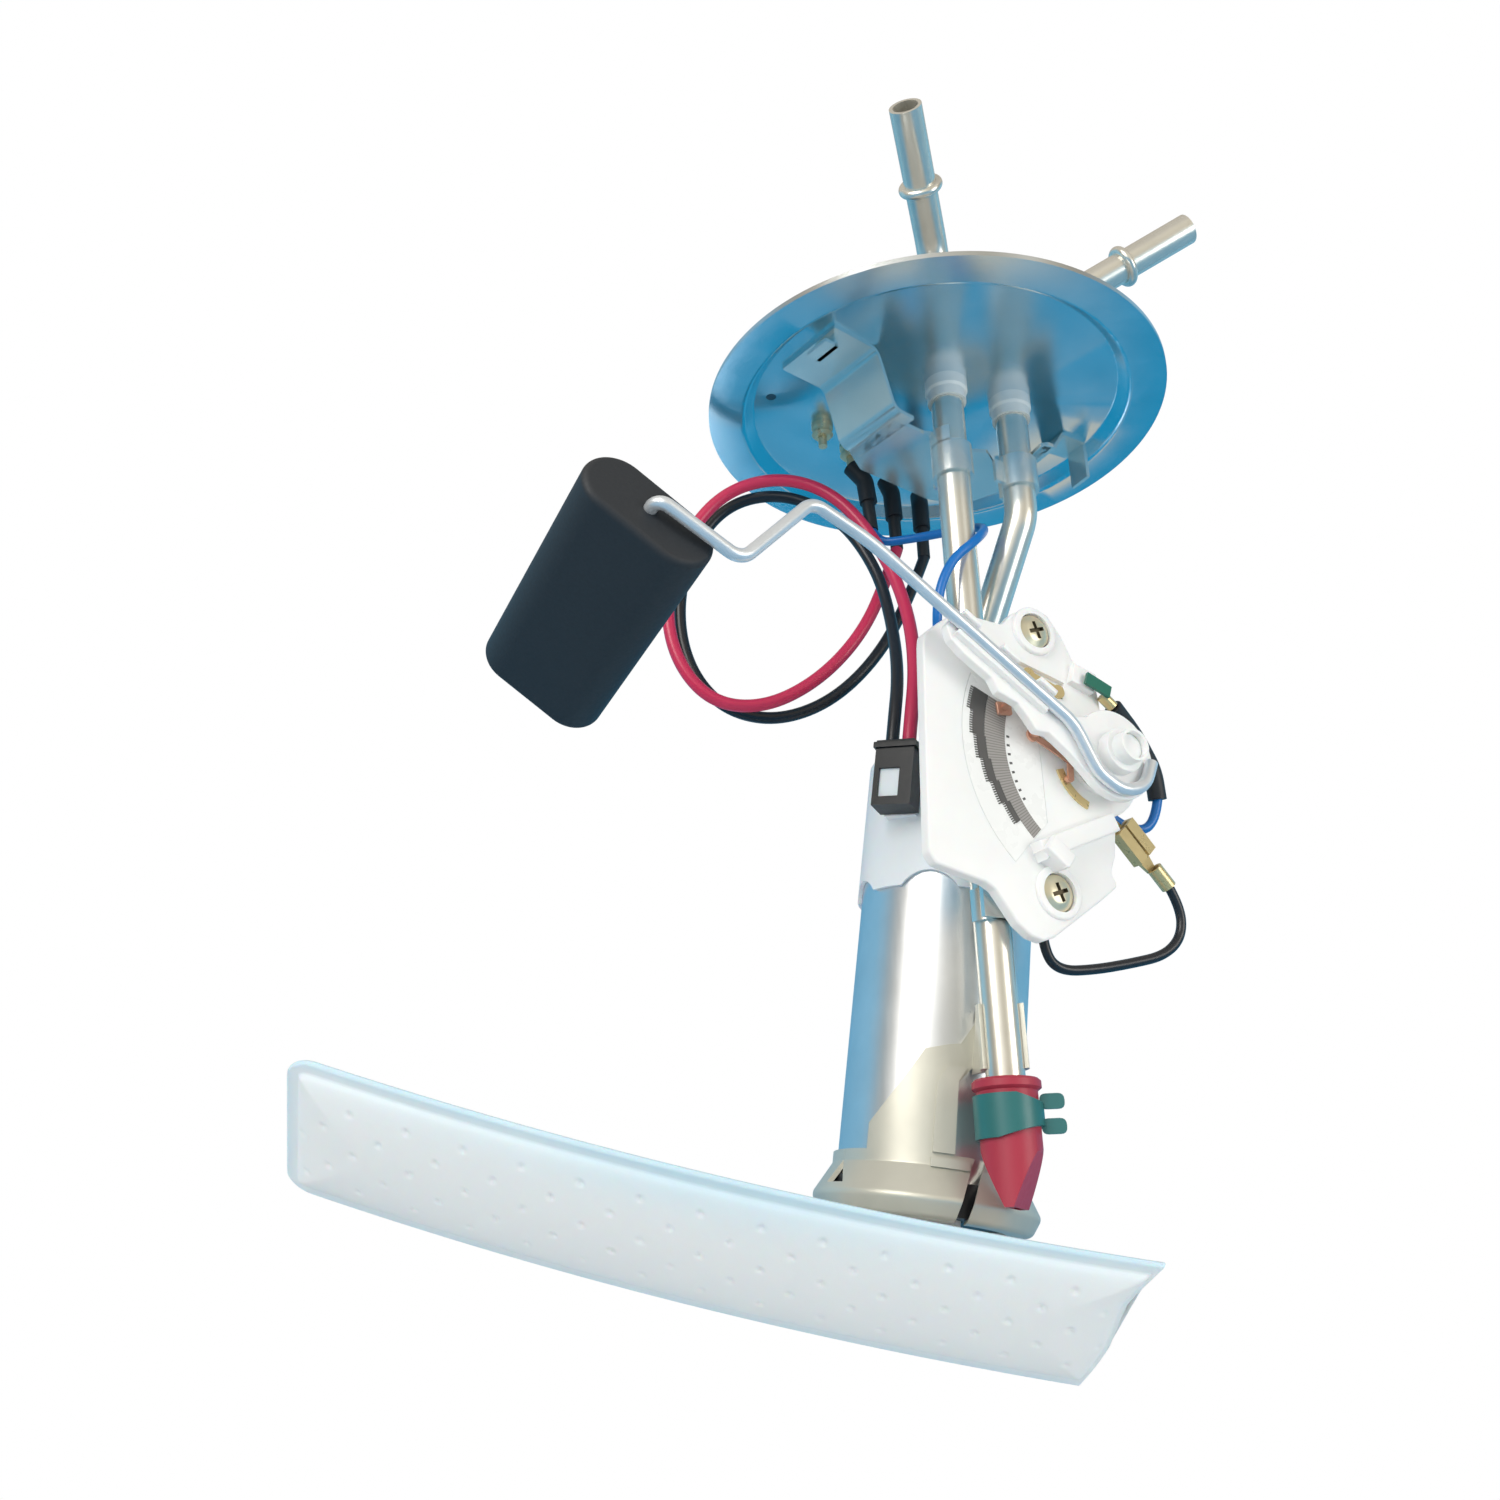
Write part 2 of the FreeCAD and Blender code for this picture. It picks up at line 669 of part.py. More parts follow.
def rotor_arm():
    hub = fuse([cyl(6.6, hub_low, arm_top, *pivot), cyl(5.0, arm_top - 0.1, wire_w + 1.4, *pivot),
                cyl(3.7, wire_w + 1.3, wire_w + 4.6, *pivot)])
    skirt = cyl(wire_loop_r + wire_r + 0.4, arm_low, arm_top, *pivot)
    d = unit(arm_tip - arm_root)
    s = V(-d.y, d.x, 0)
    base = V(*pivot, 0)
    plan = [base + s * 6.0, arm_root + s * 4.6, arm_tip + s * 2.6, arm_tip - s * 2.9,
            arm_root - d * -4 - s * 6.6, base - s * 8.4]
    blade = prism([(p.x, p.y) for p in plan], arm_low, arm_top)
    pieces = [hub, skirt, blade]
    for t in grip_points:
        c = arm_root + (arm_tip - arm_root) * t
        for side in (1, -1):
            off = wire_r + wire_gap + 0.7
            p, q = c + s * side * off - d * 2.0, c + s * side * off + d * 2.0
            pieces.append(bar((p.x, p.y), (q.x, q.y), 1.4, arm_top - 0.1, arm_top + clip_h))
    body = fuse(pieces)
    body = body.cut(cyl(pivot_pin_r + pivot_gap, hub_low - 1, wire_w + 6, *pivot))
    return body


def wire_points():
    loop = []
    for a in (-8, -52, -96, -140):
        t = math.radians(a)
        k = wire_loop_r / math.cos(math.radians(22)) if a != -8 else wire_loop_r
        loop.append((pivot[0] + k * math.cos(t), pivot[1] + k * math.sin(t), wire_w))
    return loop


float_m_dir = unit(V(*float_dir))
shoulder = (-85.3, -65.1, wire_w)
shoulder_row = V(*sender_point(*shoulder))
arm_line = wire_points() + [(12.0, -93.6, wire_w), (-37.3, -62.0, wire_w), (-51.0, -56.4, wire_w),
                            (-67.5, -74.2, wire_w), shoulder]
arm_row = [sender_point(*p) for p in arm_line]
arm_row.append(tuple(shoulder_row + float_m_dir * (float_face_gap + float_len + 3.6)))
arm_radii = [7.0, 7.4, 6.6, 12.0, 60.0, 4.0, 4.0, 2.6]
keep("arm_wire", rod(arm_row, arm_radii, wire_r))
keep("rotor_arm", moved(rotor_arm(), sender_m).cut(rod(arm_row[:7], arm_radii[:5],
                                                       wire_r + wire_gap / 2)))

# copper wiper on the underside of the arm
wiper_z = track_z + track_t + 0.15


def wiper():
    leaf = bar((14.0, -100.5), (6.0, -95.2), 2.4, arm_low - 0.5, arm_low)
    finger = bar((7.6, -96.2), (0.8, -91.0), 1.1, wiper_z + 1.6, arm_low - 0.45)
    tip = cyl(1.3, wiper_z, arm_low - 0.4, -0.2, -90.2)
    heel = bar((14.0, -100.5), (16.0, -104.5), 1.2, wiper_z + 1.6, arm_low - 0.45)
    heel_tip = cyl(1.0, plate_w + 0.65, arm_low - 0.4, 16.2, -104.8)
    return fuse([leaf, finger, tip, heel, heel_tip, bar((0.2, -90.6), (8, -96.6), 2.0,
                                                         arm_low - 0.5, arm_low)])


keep_sender("wiper_contacts", wiper())

# float
fx = unit(float_m_dir.cross(V(0, 0, 1)))
fy = fx.cross(float_m_dir) * -1.0
if fy.z < 0:
    fy = fy * -1.0
fx = fy.cross(float_m_dir)
face_at = shoulder_row + float_m_dir * float_face_gap
float_m = matrix(fx, fy, float_m_dir, tuple(face_at))


def float_body():
    body = capsule(float_big, float_small, 0.0, float_len)
    rims = [e for e in body.Edges if abs(e.CenterOfMass.z) < 1e-6
            or abs(e.CenterOfMass.z - float_len) < 1e-6]
    body = body.makeFillet(1.6, rims)
    hollow = capsule(float_big - 2 * float_wall, float_small - 2 * float_wall, float_wall,
                     float_len - float_wall)
    core = cyl(wire_r + float_bore_gap + float_wall, 0, float_len)
    body = body.cut(hollow.cut(core))
    body.rotate(V(0, 0, 0), V(0, 0, 1), float_turn)
    return body.cut(cyl(wire_r + float_bore_gap, -1, float_len + 1))


u_dir = V(math.cos(az), math.sin(az), 0)
long_row = u_dir * math.cos(math.radians(float_roll)) + V(0, 0, 1) * math.sin(
    math.radians(float_roll))
float_turn = math.degrees(math.atan2(long_row.dot(fy), long_row.dot(fx)))
keep("float", moved(float_body(), float_m))
keep("float_retainer", moved(ring(3.6, wire_r + 0.02, float_len + 0.3, float_len + 1.1), float_m))

shell_low, shell_top = shell_z
inner_r = shell_r - shell_t
fit_r = inner_r - part_gap
shell = spin([(inner_r, shell_low + 1.2), (crimp_r, shell_low + 0.9), (crimp_r, shell_low),
              (shell_r - 0.8, shell_low), (shell_r, shell_low + 0.8), (shell_r, shell_top - 0.8),
              (shell_r - 0.8, shell_top), (crimp_r, shell_top), (crimp_r, shell_top - 0.9),
              (inner_r, shell_top - 1.2)])
keep_pump("pump_shell", shell)

cavity_z = 9.0
cavity_h = impeller_t + 0.6
inlet_top = 17.0


def inlet_housing():
    step = shell_low - part_gap
    body = spin([(0, 0), (crimp_r - 1.0, 0), (crimp_r - part_gap, 1.0), (crimp_r - part_gap, step + 1),
                 (fit_r - 1.0, shell_low + 1.3), (fit_r, shell_low + 2.4), (fit_r, inlet_top),
                 (0, inlet_top)])
    nipple = cyl(inlet_r, -inlet_len, 0.5, 0, inlet_off)
    body = fuse([body, nipple])
    body = body.cut(cyl(impeller_r + 0.3, cavity_z, cavity_z + cavity_h))
    body = body.cut(cyl(inlet_bore, -inlet_len - 1, cavity_z + 0.5, 0, inlet_off))
    body = body.cut(cyl(2.0, cavity_z, inlet_top + 1, 0, -inlet_off + 4))
    body = body.cut(cyl(shaft_r + 0.4, cavity_z - 4.0, cavity_z + 1))
    return body.cut(cyl(bearing_r + part_gap, cavity_z + cavity_h - 0.1, inlet_top + 1))


keep_pump("pump_inlet_housing", inlet_housing())


def impeller():
    z0 = cavity_z + 0.3
    wheel = ring(impeller_r, shaft_r + 0.02, z0, z0 + impeller_t)
    for i in range(vane_count):
        pocket = box(impeller_r - 3.2, impeller_r - 0.9, -0.75, 0.75, z0 - 1, z0 + impeller_t + 1)
        pocket.rotate(V(0, 0, 0), V(0, 0, 1), 360.0 * i / vane_count)
        wheel = wheel.cut(pocket)
    return wheel


keep_pump("pump_impeller", impeller())
magnets = []
for start in (20, 200):
    m = ring(fit_r, fit_r - magnet_t, *magnet_z)
    magnets.append(m.common(wedge_sector(30, magnet_z[0] - 1, magnet_z[1] + 1, start, start + 140)))
keep_pump("pump_magnets", Part.makeCompound(magnets))


slot_top, slot_foot = armature_r - 1.5, armature_r - 7.0


def armature():
    core = cyl(armature_r, *armature_z)
    mouth = [(slot_top, -0.6), (armature_r + 1, -0.6), (armature_r + 1, 0.6), (slot_top, 0.6)]
    belly = [(slot_top - 1.2, 2.6), (slot_foot, 1.4), (slot_foot, -1.4), (slot_top - 1.2, -2.6)]
    for i in range(slot_count):
        cut = prism(mouth + belly, armature_z[0] - 1, armature_z[1] + 1)
        cut.rotate(V(0, 0, 0), V(0, 0, 1), 360.0 * (i + 0.5) / slot_count)
        core = core.cut(cut)
    return core.cut(cyl(shaft_r + 0.02, armature_z[0] - 1, armature_z[1] + 1))


keep_pump("armature_core", armature())
windings = ring(armature_r - 2.2, shaft_r + 1.2, armature_z[0] - 3.2, armature_z[0] - 0.05).fuse(
    ring(armature_r - 2.2, shaft_r + 1.2, armature_z[1] + 0.05, armature_z[1] + 3.2))
keep_pump("armature_windings", windings)
keep_pump("armature_shaft", cyl(shaft_r, cavity_z - 3.2, 88.0))
comm = ring(commutator_r, shaft_r + 0.02, *commutator_z)
for i in range(slot_count):
    s = box(commutator_r - 0.8, commutator_r + 1, -0.25, 0.25, commutator_z[0] + 1.2,
            commutator_z[1] + 1)
    s.rotate(V(0, 0, 0), V(0, 0, 1), 360.0 * (i + 0.5) / slot_count)
    comm = comm.cut(s)
keep_pump("commutator", comm)

cover_low = 63.0
brush_z = (commutator_z[0] + 2.5, commutator_z[1] - 1.5)
brush_w = 4.0
brush_len = 6.0
brush_in = commutator_r + 0.15
nipple_top = cover_top + nipple_len


def outlet_cover():
    top = shell_top - 1.2 - part_gap
    body = spin([(commutator_r + 2.4, cover_low), (fit_r, cover_low), (fit_r, top - 0.9),
                 (crimp_r - part_gap, top), (crimp_r - part_gap, cover_top - 1.5),
                 (crimp_r - 1.6, cover_top), (0, cover_top), (0, commutator_z[1] + 2.5),
                 (commutator_r + 2.4, commutator_z[1] + 2.5)])
    tower = cyl(nipple_r + 1.6, cover_top - 0.5, cover_top + 4.0, *nipple_xy)
    neck = cyl(nipple_r, cover_top, nipple_top, *nipple_xy)
    barbs = [Part.makeCone(nipple_r + 0.45, nipple_r - 0.1, 2.0, V(*nipple_xy, z))
             for z in (nipple_top - 8.0, nipple_top - 4.2)]
    body = fuse([body, tower, neck] + barbs)
    body = body.cut(cyl(nipple_bore, cover_top - 4.0, nipple_top + 1, *nipple_xy))
    body = body.cut(cyl(1.2, commutator_z[1] + 1, cover_top, *nipple_xy))
    body = body.cut(cyl(bearing_r + part_gap, commutator_z[1] + 1, 89.5))
    for side in (0, 180):
        slot = box(commutator_r + 1, commutator_r + 11.2, -brush_w / 2 - part_gap,
                   brush_w / 2 + part_gap, brush_z[0] - part_gap, brush_z[1] + part_gap)
        slot.rotate(V(0, 0, 0), V(0, 0, 1), side)
        body = body.cut(slot)
    return body


cover_shape = outlet_cover()
keep_pump("pump_outlet_cover", cover_shape)
brushes, springs = [], []
for side in (0, 180):
    b = box(brush_in, brush_in + brush_len, -brush_w / 2, brush_w / 2, *brush_z)
    b = b.cut(cyl(commutator_r + 0.15, 0, 100))
    turns, coil_r, wire = 3, 1.5, 0.25
    start = brush_in + brush_len + wire + 0.05
    end = commutator_r + 11.2 - wire - 0.05
    helix = Part.makeHelix((end - start) / turns, end - start, coil_r)
    section = [V(coil_r + x * wire, 0, z * wire) for x, z in ((-1, -1), (1, -1), (1, 1), (-1, 1))]
    coil = Part.Wire(helix).makePipeShell([Part.makePolygon(section + section[:1])], True, True)
    coil.rotate(V(0, 0, 0), V(0, 1, 0), 90)
    coil.translate(V(start, 0, (brush_z[0] + brush_z[1]) / 2))
    for part in (b, coil):
        part.rotate(V(0, 0, 0), V(0, 0, 1), side)
    brushes.append(b)
    springs.append(coil)
keep_pump("pump_brushes", Part.makeCompound(brushes))
keep_pump("brush_springs", Part.makeCompound(springs))
bearing = ring(bearing_r, shaft_r + bearing_gap, cavity_z + cavity_h + 0.2, inlet_top + 0.5)
bearing_up = ring(bearing_r, shaft_r + bearing_gap, commutator_z[1] + 4.0,
                  commutator_z[1] + 4.0 + bearing_len)
keep_pump("pump_bearings", Part.makeCompound([bearing, bearing_up]))
ball_z = cover_top - 4.0 + 1.9 + 0.05
keep_pump("check_ball", Part.makeSphere(ball_r, V(*nipple_xy, ball_z)))
stop_z = ball_z + ball_r + ball_lift + 0.05
check_stop = cyl(nipple_bore - 0.02, stop_z, stop_z + 1.6, *nipple_xy)
keep_pump("check_stop", check_stop.common(box(nipple_xy[0] - 4, nipple_xy[0] + 4,
                                              nipple_xy[1] - 0.9, nipple_xy[1] + 0.9,
                                              stop_z - 1, stop_z + 3)))


def isolator_cap():
    r_in = shell_r + cap_gap
    r_out = r_in + cap_wall
    low, top = cap_z
    body = spin([(r_in, low), (r_out, low), (r_out, top - 3.0), (r_out - 3.0, top), (9.0, top),
                 (9.0, top - 1.2), (r_in - 2.0, top - 1.2), (r_in, top - 3.2)])
    body = body.cut(cyl(nipple_r + 2.2, top - 5, top + 5, *nipple_xy))
    for i in range(6):
        bite = Part.makeCylinder(7.5, 60, V(0, 0, low - 4.2), V(1, 0, 0))
        bite.rotate(V(0, 0, 0), V(0, 0, 1), 60.0 * i + 12)
        body = body.cut(bite)
    return body


def plug_place(shape):
    shape.rotate(V(0, 0, 0), V(0, 0, 1), -plug_turn)
    shape.translate(V(*plug_mid))
    return shape


# the cap carries the seat that the plug slides down over
seat = plug_place(box(-plug_w / 2 + 0.8, plug_w / 2 - 0.8, plug_d / 2 + 0.1, plug_d / 2 + 7.0,
                      -plug_h / 2 + 0.6, plug_h / 2 - 3.0))
cap = isolator_cap()
keep_pump("pump_isolator_cap", fuse([cap, seat.cut(cyl(shell_r + cap_gap, 0, 200))]))


def plug():
    w, d, h = plug_w / 2, plug_d / 2, plug_h / 2
    body = box(-w, w, -d, d, -h, h)
    body = body.cut(box(-w + 1.4, w - 1.4, -d - 1, -d + 2.2, -h + 2.0, -h + 8.6))
    latch = box(-1.6, 1.6, -d, -d + 2.3, -h + 2.0, -h + 6.4)
    collar = box(-w - 0.5, w + 0.5, -d - 0.5, d, h - 2.0, h - 0.6)
    body = fuse([body, latch, collar])
    for x in lead_x:
        body = body.cut(cyl(red_r + 0.1, h - lead_depth, h + 1, x, 0))
    return plug_place(body)


keep_pump("pump_plug", plug())

# hose and clamps
hose_r = tube_r + hose_gap + hose_wall
hose_low = cover_top + 5.0
hose_top = supply_low + 9.5
hose = ring(hose_r, tube_r + hose_gap, hose_low, hose_top, *nipple_xy)
for z in (nipple_top - 8.0, nipple_top - 4.2):
    hose = hose.cut(Part.makeCone(nipple_r + 0.48, nipple_r, 2.0, V(*nipple_xy, z)))
keep_pump("outlet_hose", hose)
clamps = []
for z in (hose_low + 1.5, hose_top - clamp_w - 1.5):
    band = ring(hose_r + 0.05 + clamp_t, hose_r + 0.05, 0, clamp_w)
    ear = box(hose_r + clamp_t - 0.2, hose_r + clamp_t + 3.4, -1.6, 1.6, 0.6, clamp_w - 0.6)
    slot = box(hose_r + clamp_t + 0.6, hose_r + clamp_t + 2.6, -2, 2, 1.4, clamp_w - 1.4)
    c = band.fuse(ear).cut(slot)
    c.rotate(V(0, 0, 0), V(0, 0, 1), 40)
    c.translate(V(*nipple_xy, z))
    clamps.append(c)
keep_pump("hose_clamps", Part.makeCompound(clamps))

# lower isolator and bracket
iso_r = shell_r + cap_gap + isolator_wall
isolator = spin([(0, -isolator_wall - 0.1), (iso_r, -isolator_wall - 0.1), (iso_r, isolator_h),
                 (shell_r + cap_gap, isolator_h), (shell_r + cap_gap, -0.1), (0, -0.1)])
keep_pump("lower_isolator", isolator.cut(cyl(neck_r + 0.4, -5, 5, 0, inlet_off)))

hug_r = shell_r + cup_gap
floor_z = -isolator_wall - 0.1 - cup_gap - cup_t / 2
cup_line = [(hug_r + cup_t / 2, cup_top), (hug_r + cup_t / 2, 9.0), (cup_bulge_r, 1.2),
            (cup_bulge_r - 1.6, floor_z), (cup_lip_r, floor_z)]


def lower_bracket():
    cup = strip_face(cup_line, cup_t, 1.3).revolve(V(0, 0, 0), V(0, 0, 1), 360)
    slit = prism([(5.0, floor_z - 2), (5.0 + seam_w, floor_z - 2), (9.2 + seam_w, cup_top + 1),
                  (9.2, cup_top + 1)], 10, 40)
    slit.rotate(V(0, 0, 0), V(1, 0, 0), 90)
    cup = cup.cut(slit)
    band = ring(hug_r + cup_t, hug_r, cup_top - 2, 36)
    band = band.common(wedge_sector(40, 0, 60, band_left, band_right))
    window = prism([(-17.5, cup_top - 2.5), (-17.5, 13.0), (-14.2, 18.5), (-5.0, 31.6), (4.6, 34.8),
                    (4.6, 23.0), (16.0, 21.0), (16.0, cup_top + 1.2), (4.6, cup_top + 1.2),
                    (2.0, cup_top - 2.5)], 0, 40)
    window.rotate(V(0, 0, 0), V(1, 0, 0), 90)
    body = moved(fuse([cup, band.common(window)]), pump_m)
    x, y = return_xy
    r = tube_r + braze_gap
    saddle_ = ring(r + cup_t, r, saddle_low, saddle_high)
    saddle_ = saddle_.common(wedge_sector(20, saddle_low - 1, saddle_high + 1, -20, 200))
    wing = box(r + 0.2, r + 3.8, -cup_t / 2, cup_t / 2, saddle_low + 2, saddle_high)
    wing.rotate(V(0, 0, 0), V(0, 0, 1), -18)
    saddle_ = saddle_.fuse(wing)
    saddle_.translate(V(x, y, 0))
    quads = []
    for z in (saddle_low, saddle_high):
        up = (z - pump_foot[2]) / math.cos(tilt)
        edge = pump_m.multVec(V(4.4, -math.sqrt((hug_r + cup_t / 2) ** 2 - 4.4 ** 2), up))
        near = V(x - (r + cup_t / 2) * 0.80, y + (r + cup_t / 2) * 0.60, 0)
        d = unit(V(edge.x - near.x, edge.y - near.y, 0))
        s = V(-d.y, d.x, 0) * (cup_t / 2)
        a, b = V(near.x, near.y, z), V(edge.x, edge.y, z)
        quads.append(Part.makePolygon([a + s, b + s, b - s, a - s, a + s]))
    web = Part.makeLoft(quads, True)
    whole = fuse([body, saddle_, web])
    return whole.cut(moved(cyl(hug_r, 0, 60), pump_m))


keep("lower_bracket", lower_bracket())

# strainer: a flat bag swept round a large arc, seen from the side
sock_cx, sock_cz = sock_centre
t_sin, t_cos = math.sin(math.radians(sock_tilt)), math.cos(math.radians(sock_tilt))


def sock_point(across, off, angle):
    """A point of the bag: across its width, off its middle plane, along its arc."""
    rho = sock_radius + across * t_sin + off * t_cos
    a = math.radians(angle)
    return V(sock_cx - rho * math.sin(a), sock_near_y + across * t_cos - off * t_sin,
             sock_cz - rho * math.cos(a))


def sock_sweep(edges, a0, a1):
    face = Part.Face(Part.Wire(edges))
    return face.revolve(V(sock_cx, 0, sock_cz), V(0, 1, 0), a1 - a0)


def sock_arc(p, q, r, a):
    return Part.Arc(sock_point(*p, a), sock_point(*q, a), sock_point(*r, a)).toShape()


def sock_line(p, q, a):
    return Part.LineSegment(sock_point(*p, a), sock_point(*q, a)).toShape()


def sock_outer(a0, a1):
    e, h, m = sock_seal, sock_seal_t / 2, sock_thick / 2
    w, mid = sock_w, sock_w / 2
    return sock_sweep([sock_line((0, h), (e, h), a0), sock_arc((e, h), (mid, m), (w - e, h), a0),
                       sock_line((w - e, h), (w, h), a0), sock_line((w, h), (w, -h), a0),
                       sock_line((w, -h), (w - e, -h), a0),
                       sock_arc((w - e, -h), (mid, -m), (e, -h), a0),
                       sock_line((e, -h), (0, -h), a0), sock_line((0, -h), (0, h), a0)], a0, a1)


def sock_inner(a0, a1):
    e, m, w = sock_seal + 0.3, sock_thick / 2 - sock_wall, sock_w
    return sock_sweep([sock_arc((e, 0), (w / 2, m), (w - e, 0), a0),
                       sock_arc((w - e, 0), (w / 2, -m), (e, 0), a0)], a0, a1)


def sock_bar(across0, across1, off0, off1, a0, a1):
    pts = [(across0, off1), (across1, off1), (across1, off0), (across0, off0)]
    edges = [sock_line(pts[i], pts[(i + 1) % 4], a0) for i in range(4)]
    return sock_sweep(edges, a0, a1)


deg = 180.0 / math.pi / sock_radius         # degrees of arc per millimetre
right_a, left_a = sock_span
bag = sock_outer(right_a, left_a)
corner = 6.0


def sock_block(points, a):
    """A block through the bag, its plan drawn along and across the bag at one end."""
    o = sock_point(0, 0, a)
    wide = unit(sock_point(1, 0, a) - o)
    thick = unit(sock_point(0, 1, a) - o)
    along = wide.cross(thick)
    if along.x < 0:
        along = along * -1.0
    ring_ = [o + along * p + wide * q - thick * 8 for p, q in points]
    return Part.Face(Part.makePolygon(ring_ + ring_[:1])).extrude(thick * 16)


def sock_post(p, q, r, a):
    o = sock_point(0, 0, a)
    wide, thick = unit(sock_point(1, 0, a) - o), unit(sock_point(0, 1, a) - o)
    along = wide.cross(thick)
    if along.x < 0:
        along = along * -1.0
    return Part.makeCylinder(r, 20, o + along * p + wide * q - thick * 10, thick)


for edge, sign in ((0, 1), (sock_w, -1)):
    inward = edge + sign * corner
    outward = edge - sign * 2
    block = sock_block([(-2, outward), (corner, outward), (corner, inward), (-2, inward)], left_a)
    bag = bag.cut(block.cut(sock_post(corner, inward, corner, left_a)))
bag = bag.cut(sock_block([(0.5, -1), (-3.4, 12), (-5.0, 25), (-7.8, sock_w + 1), (5, sock_w + 1),
                          (5, -1)], right_a))
cavity = sock_inner(right_a + 11 * deg, left_a - sock_seal * deg)
port = cyl(inlet_r + 0.1, -40, 0, 0, inlet_off)
inlet_mouth = pump_m.multVec(V(0, inlet_off, -inlet_len))
neck = ring(neck_r, inlet_r + neck_gap, -40, -0.4, 0, inlet_off)
across_at = (inlet_mouth.y - sock_near_y) / t_cos
a_at = math.degrees(math.asin((sock_cx - inlet_mouth.x + 2.0) / (sock_radius + across_at * t_sin)))
foot_c = sock_point(across_at, -sock_thick / 2 - 1.2, a_at)
foot_n = unit(sock_point(across_at, -1, a_at) - sock_point(across_at, 0, a_at))
foot = Part.makeCylinder(neck_r + 2.4, 3.0, foot_c - foot_n * 1.6, foot_n)
low_cut = Part.makeCylinder(60, 80, foot_c - foot_n * 1.6, foot_n * -1.0)
neck = moved(neck, pump_m).cut(low_cut).fuse(foot)
neck = neck.cut(moved(port, pump_m)).cut(bag)
keep("strainer_neck", neck.removeSplitter())
upper_side = sock_bar(across_at - 12, across_at + 12, -sock_thick, 0, a_at - 1.5, a_at + 1.5)
sock = bag.cut(cavity).cut(moved(port, pump_m).common(upper_side))
keep("strainer_sock", sock)
ribs = [sock_bar(sock_w / 2 - 1.4, sock_w / 2 + 1.4, -2.5, 2.5, right_a + 14 * deg,
                 left_a - 6 * deg)]
step = 11.0
count = int((left_a - right_a) / deg / step) - 2
for i in range(count):
    a = right_a + (20 + i * step) * deg
    if abs(a - a_at) > (inlet_r + 2.5) * deg:
        ribs.append(sock_bar(7.5, sock_w - 7.5, -0.95, 0.95, a, a + 1.5 * deg))
keep("strainer_frame", fuse(ribs))
washer = ring(neck_r - 1.0, inlet_r - 0.9, -inlet_len - 0.6, -inlet_len - 0.05, 0, inlet_off)
keep_pump("strainer_retainer", washer.common(cyl(inlet_r + neck_gap - 0.02, -20, 0, 0, inlet_off)))

# one-way valve on the return tube


def duckbill(r, half, z0, z1, tip):
    """A round plug from z1 down to z0, its lower part cut to a wedge by two flat faces."""
    wedge = prism([(-half, z0), (half, z0), (r + 0.5, tip), (r + 0.5, z1 + 1),
                   (-r - 0.5, z1 + 1), (-r - 0.5, tip)], -r - 1, r + 1)
    wedge.rotate(V(0, 0, 0), V(1, 0, 0), 90)
    return cyl(r, z0, z1).common(wedge)


def valve():
    mid, low = valve_top - valve_body_h, valve_top - valve_len
    body = duckbill(valve_r, valve_lip / 2, low, valve_top - valve_rim_h - 0.5, mid)
    rim = spin([(0, valve_top - valve_rim_h - 0.6), (valve_r, valve_top - valve_rim_h - 0.6),
                (valve_rim_r, valve_top - valve_rim_h), (valve_rim_r, valve_top - 0.5),
                (valve_rim_r - 0.5, valve_top), (0, valve_top)])
    body = body.fuse(rim)
    body = body.cut(cyl(tube_r + braze_gap, return_end_z - 0.2, valve_top + 1))
    inner = duckbill(tube_r - 0.5, valve_slit / 2, low - 1, return_end_z, mid - 3.0)
    body = body.cut(inner)
    body.rotate(V(0, 0, 0), V(0, 0, 1), 68)
    body.translate(V(*return_xy, 0))
    return body


keep("duckbill_valve", valve())


def valve_clamp():
    r = valve_r + 0.04
    top, low = valve_top - 3.2, valve_top - 11.6
    band = ring(r + clamp_t, r, low, top)
    side = prism([(-9, low), (-2, low), (9, low + 3.0), (9, top - 2.4), (2, top), (-9, top)], -9, 9)
    side.rotate(V(0, 0, 0), V(1, 0, 0), 90)
    band = band.common(side)
    ears = []
    for z in (top - 1.3, low + 2.3):
        ear = box(r, r + 5.2, -clamp_t / 2, clamp_t / 2, z - 1.5, z + 1.5)
        end = Part.makeCylinder(1.5, clamp_t, V(r + 5.2, -clamp_t / 2, z), V(0, 1, 0))
        ears.append(ear.fuse(end))
    return turn_about(fuse([band] + ears), return_xy, -12)


keep("valve_clamp", valve_clamp())

# leads: their own solids are plain tubes
plug_top = plug_h / 2


def plug_entry(x, up):
    a = math.radians(-plug_turn)
    return pump_point(plug_mid[0] + x * math.cos(a), plug_mid[1] + x * math.sin(a),
                      plug_mid[2] + plug_top + up)


